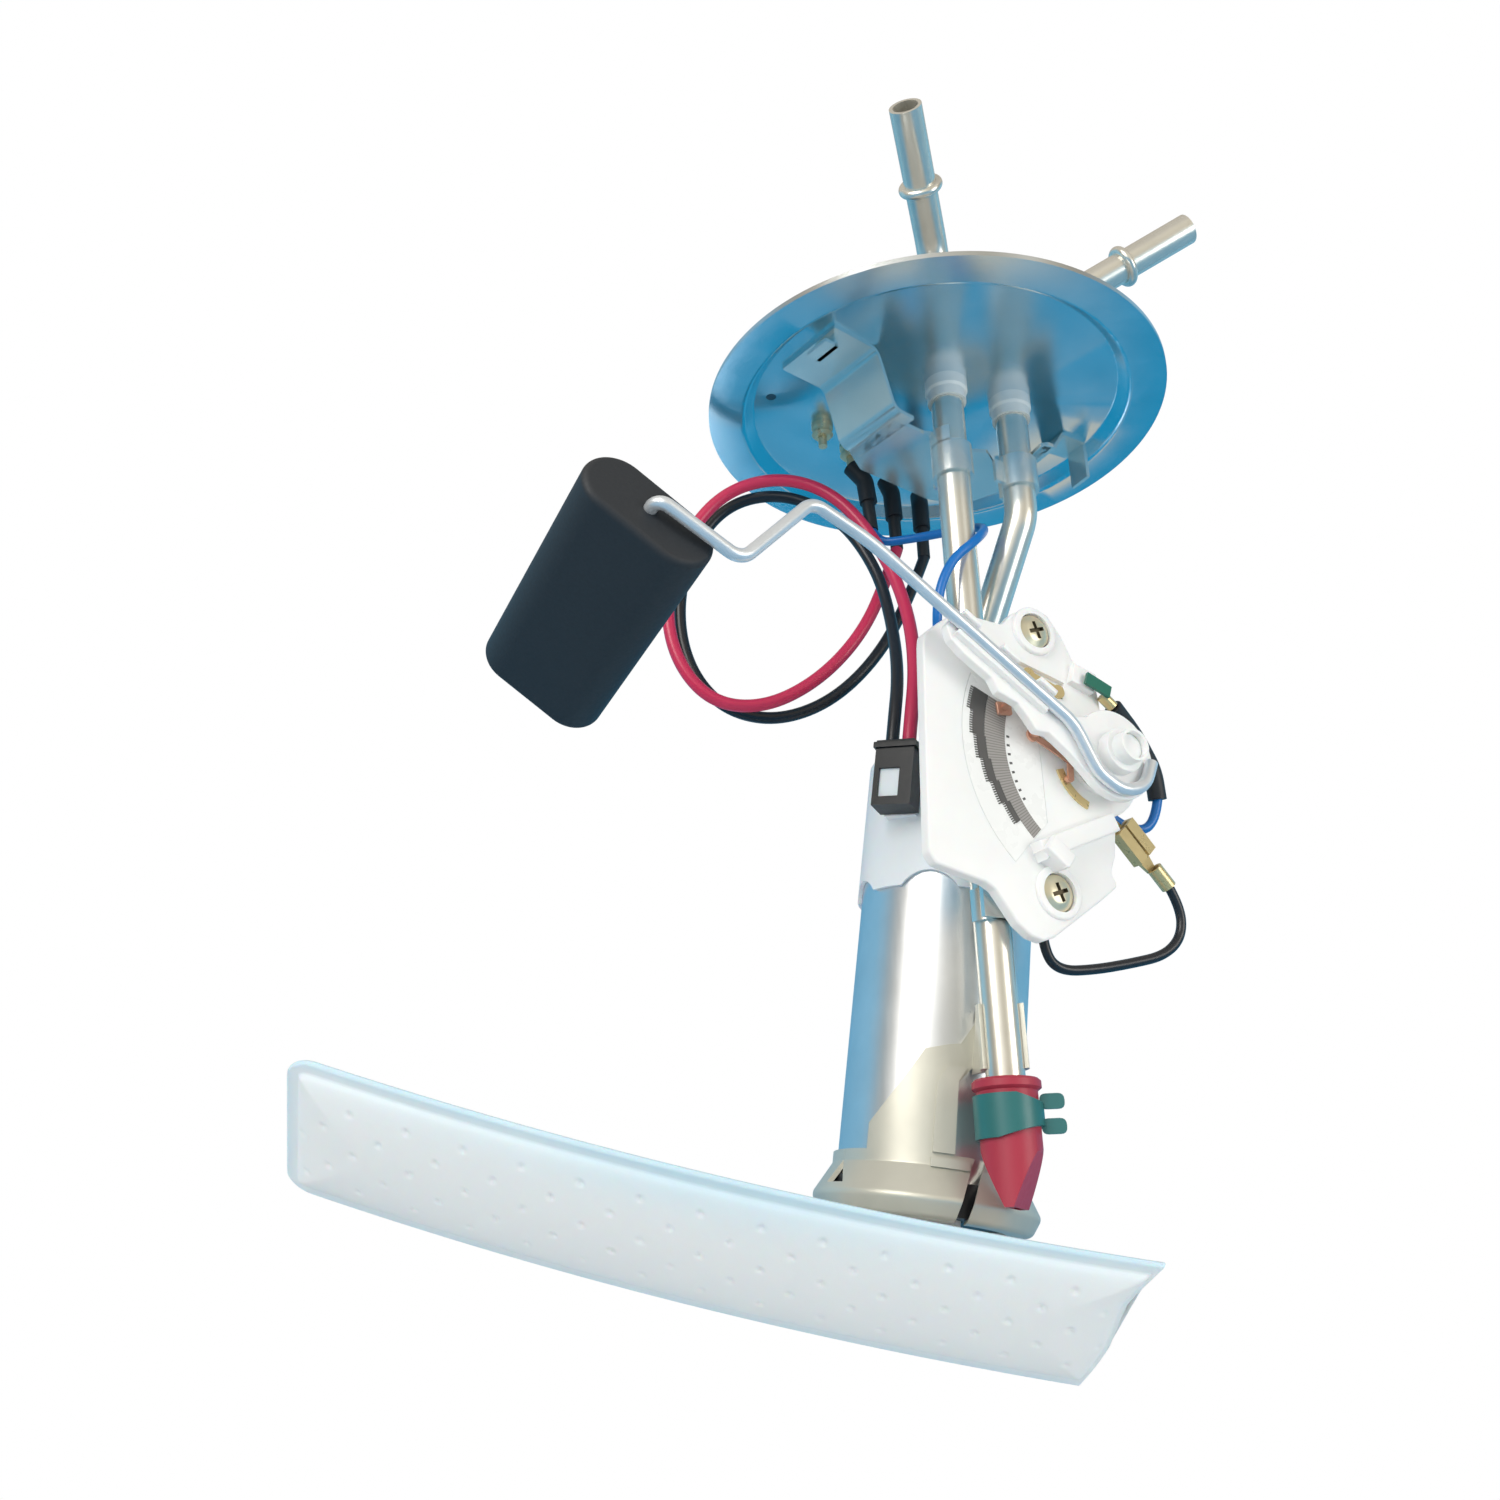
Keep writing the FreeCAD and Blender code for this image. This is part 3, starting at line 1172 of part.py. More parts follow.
red_route = [boot_ends[1], (-11.5, 21.5, -33.2), (-18.7, 20.0, -50.4), (-30.4, 18.5, -64.3),
             (-44.2, 17.0, -72.3), (-57.1, 16.0, -71.2), (-65.9, 15.0, -60.3),
             (-68.7, 14.0, -44.9), (-65.0, 13.5, -28.0), (-54.1, 13.0, -12.6),
             (-38.5, 12.0, -8.7), (-24.3, 11.0, -15.5), (-14.1, 9.0, -32.8),
             (-9.3, 5.0, -51.5), (-9.0, -0.5, -70.0), plug_entry(lead_x[1], 5.0),
             plug_entry(lead_x[1], -lead_depth + 0.05)]
black_route = [boot_ends[2], (-5.5, 26.5, -36.7), (-14.5, 24.5, -54.7), (-27.3, 23.0, -68.3),
               (-41.7, 21.5, -74.1), (-54.8, 20.0, -71.0), (-63.1, 19.0, -60.1),
               (-65.9, 18.5, -44.0), (-62.6, 18.0, -26.8), (-52.7, 17.0, -13.4),
               (-37.7, 16.0, -11.3), (-23.8, 15.0, -19.8), (-15.3, 13.0, -35.9),
               (-12.8, 9.0, -53.2), (-13.0, 0.5, -71.5), plug_entry(lead_x[0], 5.0),
               plug_entry(lead_x[0], -lead_depth + 0.05)]
blue_route = [boot_ends[0], (-14.0, 15.6, -27.0), (-8.3, 13.0, -28.0), (-1.0, 8.0, -29.6),
              (5.6, 0.8, -32.4), (9.4, -6.6, -36.6)]
blue_route += [sender_point(*p) for p in (
    (-0.1, -45.3, 7.0), (-6.8, -51.5, 5.4), (-10.2, -60.4, 3.6), (-9.2, -69.5, 0.8),
    (-3.0, -77.0, -6.6), (7.0, -81.0, -8.0), (16.5, -86.5, -3.2), (24.0, -95.0, -0.4),
    (31.5, -103.6, 1.4), (38.4, -109.0, 2.8), (45.2, -108.4, 4.4), (46.4, -101.4, 5.4))]
sleeve_route = [sender_point(*p) for p in (
    (46.4, -101.4, 5.4), (45.2, -94.8, 6.4), (38.6, -88.0, 8.6), (30.6, -83.6, 11.3))]
ground_route = [sender_point(*p) for p in (
    (45.2, -122.6, 6.3), (48.2, -127.0, 6.0), (48.0, -133.4, 5.4), (43.0, -138.0, 4.6),
    (34.0, -140.4, 3.8), (24.0, -142.6, 3.0), (15.0, -143.6, 2.2), (11.4, -140.0, 2.0),
    (11.4, -133.8, 2.0))]
for name, route, r in (("red_lead", red_route, red_r), ("black_lead", black_route, black_r),
                       ("blue_lead", blue_route, thin_r), ("ground_lead", ground_route, thin_r)):
    radii = cord_radii(route)
    body = rod(route, radii, r)
    length = sum(e.Length for e in path_edges(route, radii))
    print(name, "length %.1f" % length, "volume ratio %.4f" % (body.Volume / (length * math.pi * r * r)),
          "radii", [round(x, 1) for x in radii])
    keep(name, body)
keep("lead_sleeve", rod(sleeve_route, cord_radii(sleeve_route), sleeve_r))

crimp_a, crimp_b = V(*sender_point(30.5, -83.5, 11.35)), V(*sender_point(27.6, -81.3, 11.35))
d = unit(crimp_b - crimp_a)
keep("output_crimp", Part.makeCylinder(1.35, (crimp_b - crimp_a).Length, crimp_a, d))


def ground_spade():
    """The push-on terminal of the ground lead: a folded box, a neck and a crimp barrel."""
    shell = box(0, 8.6, -3.3, 3.3, -1.3, 1.3)
    shell = shell.cut(box(-1, 7.6, -2.4, 2.4, -0.5, 0.5)).cut(box(-1, 9, -0.35, 0.35, 0.4, 2))
    neck = prism([(8.5, -2.0), (8.5, 2.0), (12.0, 1.2), (12.0, -1.2)], -1.3, -0.5)
    barrel = Part.makeCylinder(1.75, 5.4, V(11.8, 0, 0.2), V(1, 0, 0))
    barrel = barrel.cut(Part.makeCylinder(thin_r + 0.03, 6, V(11.6, 0, 0.2), V(1, 0, 0)))
    return fuse([shell, neck, barrel])


spade_from, spade_to = V(*sender_point(31.6, -109.0, 7.0)), V(*sender_point(45.2, -122.6, 6.3))
sx = unit(spade_to - spade_from)
sy = unit(V(math.sin(az), -math.cos(az), 0).cross(sx))
keep("ground_spade", moved(ground_spade(), matrix(sx, sy, sx.cross(sy), tuple(
    spade_to - sx * 17.2 - sx.cross(sy) * 0.2))))
eyelet = ring(3.6, screw_shank_r + part_gap, tube_r - 0.05, tube_r + sheet_t - 0.05, *screw_xy[1])
keep_sender("ground_eyelet", eyelet)

for name, shape in nodes.items():
    shape.exportStep("parts/" + name + ".step")
    solids = shape.Solids
    ok = all(s.isValid() and s.isClosed() for s in solids)
    print("%-24s solids %d  volume %9.1f  %s" % (name, len(solids), shape.Volume,
                                                "ok" if ok else "CHECK"))
print(len(nodes), "nodes")
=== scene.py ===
import bpy
import bmesh
import json
import math
import numpy as np
from mathutils import Matrix, Vector


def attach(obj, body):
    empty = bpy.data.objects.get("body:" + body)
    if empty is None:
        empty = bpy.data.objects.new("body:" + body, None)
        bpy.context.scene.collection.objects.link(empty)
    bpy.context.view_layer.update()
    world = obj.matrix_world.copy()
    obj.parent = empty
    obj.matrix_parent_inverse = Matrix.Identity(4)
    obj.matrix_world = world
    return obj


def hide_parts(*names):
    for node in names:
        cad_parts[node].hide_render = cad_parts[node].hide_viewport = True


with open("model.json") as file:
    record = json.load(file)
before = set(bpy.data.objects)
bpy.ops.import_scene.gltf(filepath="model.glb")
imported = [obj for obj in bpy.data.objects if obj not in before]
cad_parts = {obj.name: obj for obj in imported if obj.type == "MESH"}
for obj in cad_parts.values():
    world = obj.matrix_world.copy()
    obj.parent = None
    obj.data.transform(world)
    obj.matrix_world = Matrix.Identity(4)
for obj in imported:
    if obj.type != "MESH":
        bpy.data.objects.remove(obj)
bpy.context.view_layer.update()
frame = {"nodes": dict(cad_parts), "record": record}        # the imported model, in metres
scene = bpy.context.scene
scene.view_settings.view_transform = "Standard"
nodes = frame["nodes"]
bodyOf = {n: b for b, names in frame["record"]["behaviour"]["bodies"].items() for n in names}

shot = {"place": (-0.04802, -0.28444, -0.20779), "right": (0.9998, 0.0066, -0.0160),
        "up": (0.0173, -0.3815, 0.9242), "back": (0.0, -0.9243, -0.3816),
        "lens": 32.4, "sensor": 36.0}


def placeCamera(shot):
    data = bpy.data.cameras.new("viewCamera")
    data.lens, data.sensor_width = shot["lens"], shot["sensor"]
    data.clip_start, data.clip_end = 0.01, 30
    eye = bpy.data.objects.new("viewCamera", data)
    turn = Matrix((shot["right"], shot["up"], shot["back"])).transposed()
    eye.rotation_mode = "QUATERNION"
    eye.rotation_quaternion = turn.to_quaternion()
    eye.location = shot["place"]
    scene.collection.objects.link(eye)
    scene.camera = eye


def fill(node, **values):
    for key, value in values.items():
        node.inputs[key.replace("_", " ")].default_value = value


def fillRamp(node, stops):
    ends = node.color_ramp.elements
    while len(ends) < len(stops):
        ends.new(0.5)
    for end, (at, tone) in zip(ends, stops):
        end.position, end.color = at, (*tone[:3], 1)


def byRay(tree, out, rest, metal, camera):
    # one shader for what metal mirrors, another for the camera and a third for all other rays
    ray, shader = tree.nodes.new("ShaderNodeLightPath"), rest
    for kind, other in (("Is Glossy Ray", metal), ("Is Camera Ray", camera)):
        mix = tree.nodes.new("ShaderNodeMixShader")
        tree.links.new(ray.outputs[kind], mix.inputs[0])
        tree.links.new(shader.outputs[0], mix.inputs[1])
        tree.links.new(other.outputs[0], mix.inputs[2])
        shader = mix
    tree.links.new(shader.outputs[0], out.inputs[0])


# the room by compass angle from the front: what metal mirrors, and the plain light for the rest
room = {
    "mirror": [(0.0, (0.07, 0.36, 0.6)), (0.235, (0.12, 0.5, 0.78)), (0.285, (0.2, 0.22, 0.2)),
    (0.33, (0.24, 0.2, 0.14)), (0.375, (0.62, 0.57, 0.46)), (0.43, (0.8, 0.77, 0.68)),
    (0.462, (1.2, 1.18, 1.12)), (0.495, (0.74, 0.7, 0.6)), (0.56, (0.52, 0.47, 0.36)),
    (0.62, (0.95, 0.92, 0.84)), (0.655, (0.5, 0.45, 0.34)), (0.7, (0.2, 0.17, 0.12)),
    (0.755, (0.12, 0.36, 0.52)), (0.8, (0.12, 0.5, 0.78)), (1.0, (0.07, 0.36, 0.6))],
    "above": (0.46, 0.43, 0.38), "aboveFrom": 0.5, "aboveTo": 0.78, "light": (0.95, 0.95, 0.93),
    "strength": 0.62}


def makeRoom(room):
    # white to the camera; blue paper behind and below, bright and dark screens in front to metal
    scene.world = world = bpy.data.worlds.new("room")
    world.use_nodes = True
    tree = world.node_tree
    tree.nodes.clear()
    new, join = tree.nodes.new, tree.links.new
    plain, lit, seen = (new("ShaderNodeBackground") for _ in range(3))
    plain.inputs[0].default_value, plain.inputs[1].default_value = (1, 1, 1, 1), 1.0
    lit.inputs[0].default_value = (*room["light"], 1)
    lit.inputs[1].default_value = room["strength"]
    where, parts = new("ShaderNodeTexCoord"), new("ShaderNodeSeparateXYZ")
    back, turn, share = (new("ShaderNodeMath") for _ in range(3))
    back.operation, back.inputs[1].default_value = "MULTIPLY", -1.0
    turn.operation = "ARCTAN2"
    share.operation = "MULTIPLY_ADD"        # the angle as a share of the whole turn
    share.inputs[1].default_value, share.inputs[2].default_value = 0.5 / math.pi, 0.5
    ramp, rise, blend = (new("ShaderNode" + kind) for kind in ("ValToRGB", "MapRange", "Mix"))
    fillRamp(ramp, room["mirror"])
    rise.interpolation_type = "SMOOTHSTEP"
    fill(rise, From_Min=room["aboveFrom"], From_Max=room["aboveTo"])
    blend.data_type = "RGBA"
    blend.inputs[7].default_value = (*room["above"], 1)
    join(where.outputs["Generated"], parts.inputs[0])
    join(parts.outputs["Y"], back.inputs[0])
    join(parts.outputs["X"], turn.inputs[0])
    join(back.outputs[0], turn.inputs[1])
    join(turn.outputs[0], share.inputs[0])
    join(share.outputs[0], ramp.inputs[0])
    join(parts.outputs["Z"], rise.inputs["Value"])
    join(rise.outputs[0], blend.inputs[0])
    join(ramp.outputs[0], blend.inputs[6])
    join(blend.outputs[2], seen.inputs[0])
    byRay(tree, new("ShaderNodeOutputWorld"), lit, seen, plain)


lampAim = Vector((0.0, 0.0, -0.1))
lamps = {        # place, width, watts, tone; the low one's rim stands over the floor
    "key": ((-0.55, -0.75, 0.30), 0.6, 5.0, (1.0, 0.98, 0.95)),
    "side": ((0.75, -0.55, -0.10), 0.5, 2.6, (1.0, 0.97, 0.92)),
    "low": ((-0.15, 0.55, -0.62), 0.4, 1.2, (0.75, 0.9, 1.0)),
}


def hangLamp(name, at, width, watts, tone):
    data = bpy.data.lights.new(name, "AREA")
    data.shape, data.size = "DISK", width
    data.energy, data.color = watts, tone
    obj = bpy.data.objects.new(name, data)
    obj.location = at
    obj.rotation_mode = "QUATERNION"
    obj.rotation_quaternion = (lampAim - Vector(at)).to_track_quat("-Z", "Y")
    scene.collection.objects.link(obj)


floor = {"height": -0.52, "half": 4.0, "white": (1, 1, 1, 1), "blue": (0.012, 0.29, 0.53, 1),
         "paper": (0.80, 0.85, 0.88, 1), "card": (0.95, 0.78, 0.52, 1), "cardAt": (0.105, 0.49, -0.52),
         "cardSize": (0.115, 0.115, 1.0), "cardEdge": 0.55}


def layFloor(floor):
    # white to the camera, blue with one warm card to metal, pale paper for all other rays
    h, z = floor["half"], floor["height"]
    mesh = bpy.data.meshes.new("floorSheet")
    mesh.from_pydata([(-h, -h, z), (h, -h, z), (h, h, z), (-h, h, z)], [], [(0, 1, 2, 3)])
    obj = bpy.data.objects.new("floorSheet", mesh)
    scene.collection.objects.link(obj)
    mat = bpy.data.materials.new("floorPaper")
    mat.use_nodes = True
    tree = mat.node_tree
    tree.nodes.clear()
    new, join = tree.nodes.new, tree.links.new
    white, seen, paper = (new("ShaderNode" + kind) for kind in ("Emission", "Emission", "BsdfDiffuse"))
    white.inputs[0].default_value, paper.inputs[0].default_value = floor["white"], floor["paper"]
    place, move = new("ShaderNodeTexCoord"), new("ShaderNodeMapping")
    fill(move, Location=[-a / b for a, b in zip(floor["cardAt"], floor["cardSize"])],
         Scale=[1 / b for b in floor["cardSize"]])
    glow, pick = new("ShaderNodeTexGradient"), new("ShaderNodeValToRGB")
    glow.gradient_type = "SPHERICAL"
    fillRamp(pick, [(0.0, floor["blue"]), (floor["cardEdge"], floor["card"])])
    join(place.outputs["Object"], move.inputs["Vector"])
    join(move.outputs[0], glow.inputs[0])
    join(glow.outputs[0], pick.inputs[0])
    join(pick.outputs[0], seen.inputs[0])
    byRay(tree, new("ShaderNodeOutputMaterial"), paper, seen, white)
    mesh.materials.append(mat)


placeCamera(shot)
makeRoom(room)
layFloor(floor)
for name, lamp in lamps.items():
    hangLamp(name, *lamp)
print("view, room and lamps are set")


class Finish:        # a material being put together: a Principled shader with its helpers
    def __init__(self, name):
        self.mat = bpy.data.materials.new(name)
        self.mat.use_nodes = True
        self.tree = self.mat.node_tree
        self.shader = self.tree.nodes["Principled BSDF"]
        self.place = self.tree.nodes.new("ShaderNodeTexCoord")

    def set(self, **values):
        fill(self.shader, **values)

    def node(self, kind, **values):
        made = self.tree.nodes.new(kind)
        for key, value in values.items():
            setattr(made, key, value)
        return made

    def join(self, a, b):
        self.tree.links.new(a, b)

    def mapped(self, scale=(1, 1, 1), turn=(0, 0, 0), shift=(0, 0, 0)):
        move = self.node("ShaderNodeMapping")
        fill(move, Scale=scale, Rotation=turn, Location=shift)
        self.join(self.place.outputs["Object"], move.inputs["Vector"])
        return move.outputs[0]

    def noise(self, vector, scale, detail=4.0, rough=0.55):
        tex = self.node("ShaderNodeTexNoise")
        fill(tex, Scale=scale, Detail=detail, Roughness=rough)
        self.join(vector, tex.inputs["Vector"])
        return tex.outputs["Fac"]

    def ramp(self, value, stops):
        tex = self.node("ShaderNodeValToRGB")
        fillRamp(tex, stops)
        self.join(value, tex.inputs[0])
        return tex.outputs[0]

    def sum(self, kind, *values):
        made = self.node("ShaderNodeMath", operation=kind)
        for at, value in enumerate(values):
            if isinstance(value, (int, float)):
                made.inputs[at].default_value = value
            else:
                self.join(value, made.inputs[at])
        return made.outputs[0]

    def spread(self, value, low, high, floor=0.0):
        tex = self.node("ShaderNodeMapRange")
        fill(tex, From_Min=floor, To_Min=low, To_Max=high)
        self.join(value, tex.inputs["Value"])
        return tex.outputs[0]

    def colour(self, socket):
        self.join(socket, self.shader.inputs["Base Color"])

    def roughness(self, socket):
        self.join(socket, self.shader.inputs["Roughness"])

    def bump(self, socket, strength, depth):
        tex = self.node("ShaderNodeBump")
        fill(tex, Strength=strength, Distance=depth)
        self.join(socket, tex.inputs["Height"])
        self.join(tex.outputs[0], self.shader.inputs["Normal"])


def shade(tone, by):
    return tuple(min(1.0, c * by) for c in tone)


def metalFinish(name, tone, rough, grain, metal, depth=0.00002):
    # drawn or rolled metal: grain stretched one way, faint clouds in tone and gloss
    f = Finish(name)
    f.set(Metallic=metal)
    streaks = f.noise(f.mapped(grain), 1.0, 5.0, 0.6)
    clouds = f.noise(f.mapped(), 90.0, 3.0)
    f.colour(f.ramp(clouds, [(0.3, shade(tone, 0.94)), (0.7, shade(tone, 1.03))]))
    f.roughness(f.spread(streaks, rough * 0.8, rough * 1.25))
    f.bump(streaks, 0.12, depth)
    return f.mat


def plasticFinish(name, tone, rough, glow=0.0, grain=900.0, depth=0.00003, strength=0.12):
    # moulded plastic: fine spark texture, slight clouding
    f = Finish(name)
    clouds = f.noise(f.mapped(), 60.0, 3.0)
    fine = f.noise(f.mapped(), grain, 2.0)
    f.colour(f.ramp(clouds, [(0.3, shade(tone, 0.965)), (0.7, tone)]))
    f.roughness(f.spread(fine, rough * 0.85, rough * 1.15))
    f.bump(fine, strength, depth)
    if glow:
        f.set(Subsurface_Weight=glow, Subsurface_Scale=0.002)
    return f.mat


metals = {        # tone, roughness, grain along each axis, how far metal
    "flangeSteel": ((0.80, 0.84, 0.86), 0.22, (90, 90, 90), 1.0),
    "tubeSteel": ((0.80, 0.77, 0.69), 0.24, (700, 700, 60), 0.72),
    "collarSteel": ((0.92, 0.92, 0.88), 0.30, (90, 90, 500), 0.22),
    "sheetSteel": ((0.88, 0.86, 0.80), 0.24, (90, 90, 90), 0.8),
    "bracketSteel": ((0.66, 0.64, 0.55), 0.40, (200, 200, 60), 0.45, 0.000008),
    "brightWire": ((0.80, 0.83, 0.86), 0.32, (500, 500, 500), 0.55),
    "zincScrew": ((0.74, 0.68, 0.50), 0.30, (400, 400, 400), 0.6),
    "giltMetal": ((0.76, 0.66, 0.42), 0.28, (400, 400, 400), 0.6),
    "brassSheet": ((0.74, 0.58, 0.29), 0.28, (400, 400, 400), 0.55),
    "copperSheet": ((0.76, 0.42, 0.30), 0.28, (400, 400, 400), 0.6),
    "pumpAluminium": ((0.78, 0.79, 0.80), 0.34, (900, 900, 35), 0.85),
    "slotShade": ((0.16, 0.13, 0.08), 0.5, (400, 400, 400), 0.6),
    "darkIron": ((0.20, 0.20, 0.21), 0.5, (300, 300, 300), 1.0),
}
plastics = {        # tone, roughness, share of light that goes through the skin
    "whitePlastic": ((0.91, 0.915, 0.91), 0.38, 0.15),
    "capPlastic": ((0.86, 0.90, 0.94), 0.42, 0.2),
    "combInk": ((0.085, 0.082, 0.08), 0.45),
    "blackPlastic": ((0.005, 0.007, 0.010), 0.42),
    "blackRubber": ((0.018, 0.019, 0.022), 0.5),
    "floatSkin": ((0.022, 0.025, 0.030), 0.6, 0.0, 1400.0, 0.00006, 0.35),
    "greenPlate": ((0.02, 0.16, 0.11), 0.3),
    "redRubber": ((0.42, 0.03, 0.06), 0.45),
    "tealCoat": ((0.025, 0.16, 0.16), 0.35),
    "redSleeving": ((0.62, 0.03, 0.10), 0.32),
    "blackSleeving": ((0.016, 0.018, 0.024), 0.32),
    "blueSleeving": ((0.01, 0.17, 0.55), 0.32),
}
finishes = {name: metalFinish(name, *row) for name, row in metals.items()}
finishes.update({name: plasticFinish(name, *row) for name, row in plastics.items()})
print("finishes are mixed:", len(finishes))


# edge is the tone of the painted blue light near the seams and on the lower side
cloth = {"tone": (0.90, 0.925, 0.94), "edge": (0.60, 0.80, 0.90), "felt": 2600.0}


def clothFinish(name, cloth):
    # bonded strainer cloth: tiny felt grain; painted blue light of the backdrop near the seams and along
    # the lower side
    f = Finish(name)
    felt = f.noise(f.mapped(), cloth["felt"], 3.0, 0.7)
    clouds = f.noise(f.mapped(), 28.0, 3.0)
    seam = f.node("ShaderNodeAttribute", attribute_name="seam")
    paintedBlue = f.sum("MULTIPLY", seam.outputs["Fac"], f.spread(clouds, 0.7, 1.3))
    f.colour(f.ramp(paintedBlue, [(0.0, cloth["tone"]), (1.0, cloth["edge"])]))
    f.set(Roughness=0.62, Subsurface_Weight=0.2, Subsurface_Scale=0.003)
    f.bump(felt, 0.25, 0.00008)
    return f.mat


finishes["strainerCloth"] = clothFinish("strainerCloth", cloth)

dial = {
    "pivot": (-0.021853, 0.0, 0.098), "turn": -28.0, "ink": (0.33, 0.315, 0.3),
    "line": (0.2, 0.19, 0.18), "linePitch": 1.25, "card": (0.9, 0.91, 0.9), "tick": (0.1, 0.1, 0.1),
    "tickRadius": 0.024, "tickHalf": 0.0004, "tickPitch": 4.86, "ticksFrom": 172.07, "ticksTo": 210.93,
    "tickShare": 0.13, "combReach": 0.0325}


def dialPlace(f, dial):
    # radius and angle round the sender's pivot, in the plane of its card
    turned = f.mapped((1, 1, 1), (0, 0, math.radians(dial["turn"])), dial["pivot"])
    parts, flat = f.node("ShaderNodeSeparateXYZ"), f.node("ShaderNodeCombineXYZ")
    far = f.node("ShaderNodeVectorMath", operation="LENGTH")
    f.join(turned, parts.inputs[0])
    f.join(parts.outputs["X"], flat.inputs["X"])
    f.join(parts.outputs["Z"], flat.inputs["Z"])
    f.join(flat.outputs[0], far.inputs[0])
    minusX, minusZ = f.sum("MULTIPLY", parts.outputs["X"], -1), f.sum("MULTIPLY", parts.outputs["Z"], -1)
    angle = f.sum("ADD", f.sum("MULTIPLY", f.sum("ARCTAN2", minusZ, minusX), 180 / math.pi), 180)
    return far.outputs["Value"], angle


def inkFinish(name, dial):
    # resistor ink of the inner track: fine radial lines in a grey glaze
    f = Finish(name)
    angle = dialPlace(f, dial)[1]
    wave = f.sum("SINE", f.sum("MULTIPLY", angle, 2 * math.pi / dial["linePitch"]))
    f.colour(f.ramp(f.spread(wave, 0.0, 1.0, -1.0), [(0.55, dial["ink"]), (0.95, dial["line"])]))
    speck = f.noise(f.mapped(), 1500.0, 2.0)
    f.roughness(f.spread(speck, 0.36, 0.5))
    f.bump(wave, 0.15, 0.00002)
    return f.mat


def cardFinish(name, dial):
    # glazed ceramic card with a row of plain tick marks beside the inner track
    f = Finish(name)
    radius, angle = dialPlace(f, dial)
    off = f.sum("ABSOLUTE", f.sum("SUBTRACT", radius, dial["tickRadius"]))
    near = f.sum("LESS_THAN", off, dial["tickHalf"])
    step = f.sum("FRACT", f.sum("DIVIDE", f.sum("SUBTRACT", angle, dial["ticksFrom"]), dial["tickPitch"]))
    narrow = f.sum("LESS_THAN", f.sum("ABSOLUTE", f.sum("SUBTRACT", step, 0.5)), dial["tickShare"])
    inside = f.sum("MULTIPLY", f.sum("GREATER_THAN", angle, dial["ticksFrom"]),
                   f.sum("LESS_THAN", angle, dial["ticksTo"]))
    mark = f.sum("MULTIPLY", f.sum("MULTIPLY", near, narrow), inside)
    f.colour(f.ramp(mark, [(0.0, dial["card"]), (1.0, dial["tick"])]))
    glaze = f.noise(f.mapped(), 200.0, 3.0)
    f.roughness(f.spread(glaze, 0.22, 0.34))
    f.bump(glaze, 0.08, 0.00003)
    return f.mat


finishes["trackInk"] = inkFinish("trackInk", dial)
finishes["cardCeramic"] = cardFinish("cardCeramic", dial)

slotOf = {part["node"]: part["material_slot"] for part in frame["record"]["subparts"]}


def stand(obj, node, slot, instead=True):
    # shown on the body of its node and instead of the node
    scene.collection.objects.link(obj)
    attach(obj, bodyOf[node])
    if instead:
        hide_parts(node)


leads = {
    "redLead": {
        "node": "red_lead", "finish": "redSleeving", "slot": "red_wire", "d": 0.0032, "length": 0.254,
        "stiffness": "medium", "route": [(-8.7, 22.0, -25.2), (-11.5, 21.5, -33.2),
        (-18.7, 20.0, -50.4), (-30.4, 18.5, -64.3), (-44.2, 17.0, -72.3), (-57.1, 16.0, -71.2),
        (-65.9, 15.0, -60.3), (-68.7, 14.0, -44.9), (-65.0, 13.5, -28.0), (-54.1, 13.0, -12.6),
        (-38.5, 12.0, -8.7), (-24.3, 11.0, -15.5), (-14.1, 9.0, -32.8), (-9.3, 5.0, -51.5),
        (-9.0, -0.5, -70.0), (-11.7, -5.0, -86.6), (-12.9, -5.0, -95.5)]},
    "blackLead": {
        "node": "black_lead", "finish": "blackSleeving", "slot": "black_wire", "d": 0.003,
        "length": 0.254, "stiffness": "medium", "route": [(-0.9, 28.0, -24.5), (-5.5, 26.5, -36.7),
        (-14.5, 24.5, -54.7), (-27.3, 23.0, -68.3), (-41.7, 21.5, -74.1), (-54.8, 20.0, -71.0),
        (-63.1, 19.0, -60.1), (-65.9, 18.5, -44.0), (-62.6, 18.0, -26.8), (-52.7, 17.0, -13.4),
        (-37.7, 16.0, -11.3), (-23.8, 15.0, -19.8), (-15.3, 13.0, -35.9), (-12.8, 9.0, -53.2),
        (-13.0, 0.5, -71.5), (-15.3, -3.4, -86.1), (-16.5, -3.4, -95.0)]},
    "blueLead": {
        "node": "blue_lead", "finish": "blueSleeving", "slot": "blue_wire", "d": 0.0022,
        "length": 0.1585, "stiffness": "limp", "route": [(-15.6, 16.0, -23.0), (-14.0, 15.6, -27.0),
        (-8.3, 13.0, -28.0), (-1.0, 8.0, -29.6), (5.6, 0.8, -32.4), (9.4, -6.6, -36.6),
        (5.2, -15.6, -45.3), (-1.5, -17.4, -51.5), (-5.3, -17.4, -60.4), (-5.7, -14.4, -69.5),
        (-3.7, -5.0, -77.0), (4.4, 0.9, -81.0), (15.1, 1.2, -86.5), (23.0, 2.2, -95.0),
        (30.5, 4.2, -103.6), (37.2, 6.2, -109.0), (44.0, 7.9, -108.4), (45.5, 7.6, -101.4)]},
    "groundLead": {
        "node": "ground_lead", "finish": "blackSleeving", "slot": "black_wire", "d": 0.0022,
        "length": 0.0575, "stiffness": "limp", "route": [(44.9, 6.3, -122.6), (47.4, 7.9, -127.0),
        (46.9, 8.4, -133.4), (42.1, 6.7, -138.0), (33.8, 3.2, -140.4), (24.6, -0.8, -142.6),
        (16.3, -4.3, -143.6), (13.0, -5.8, -140.0), (13.0, -5.8, -133.8)]},
}


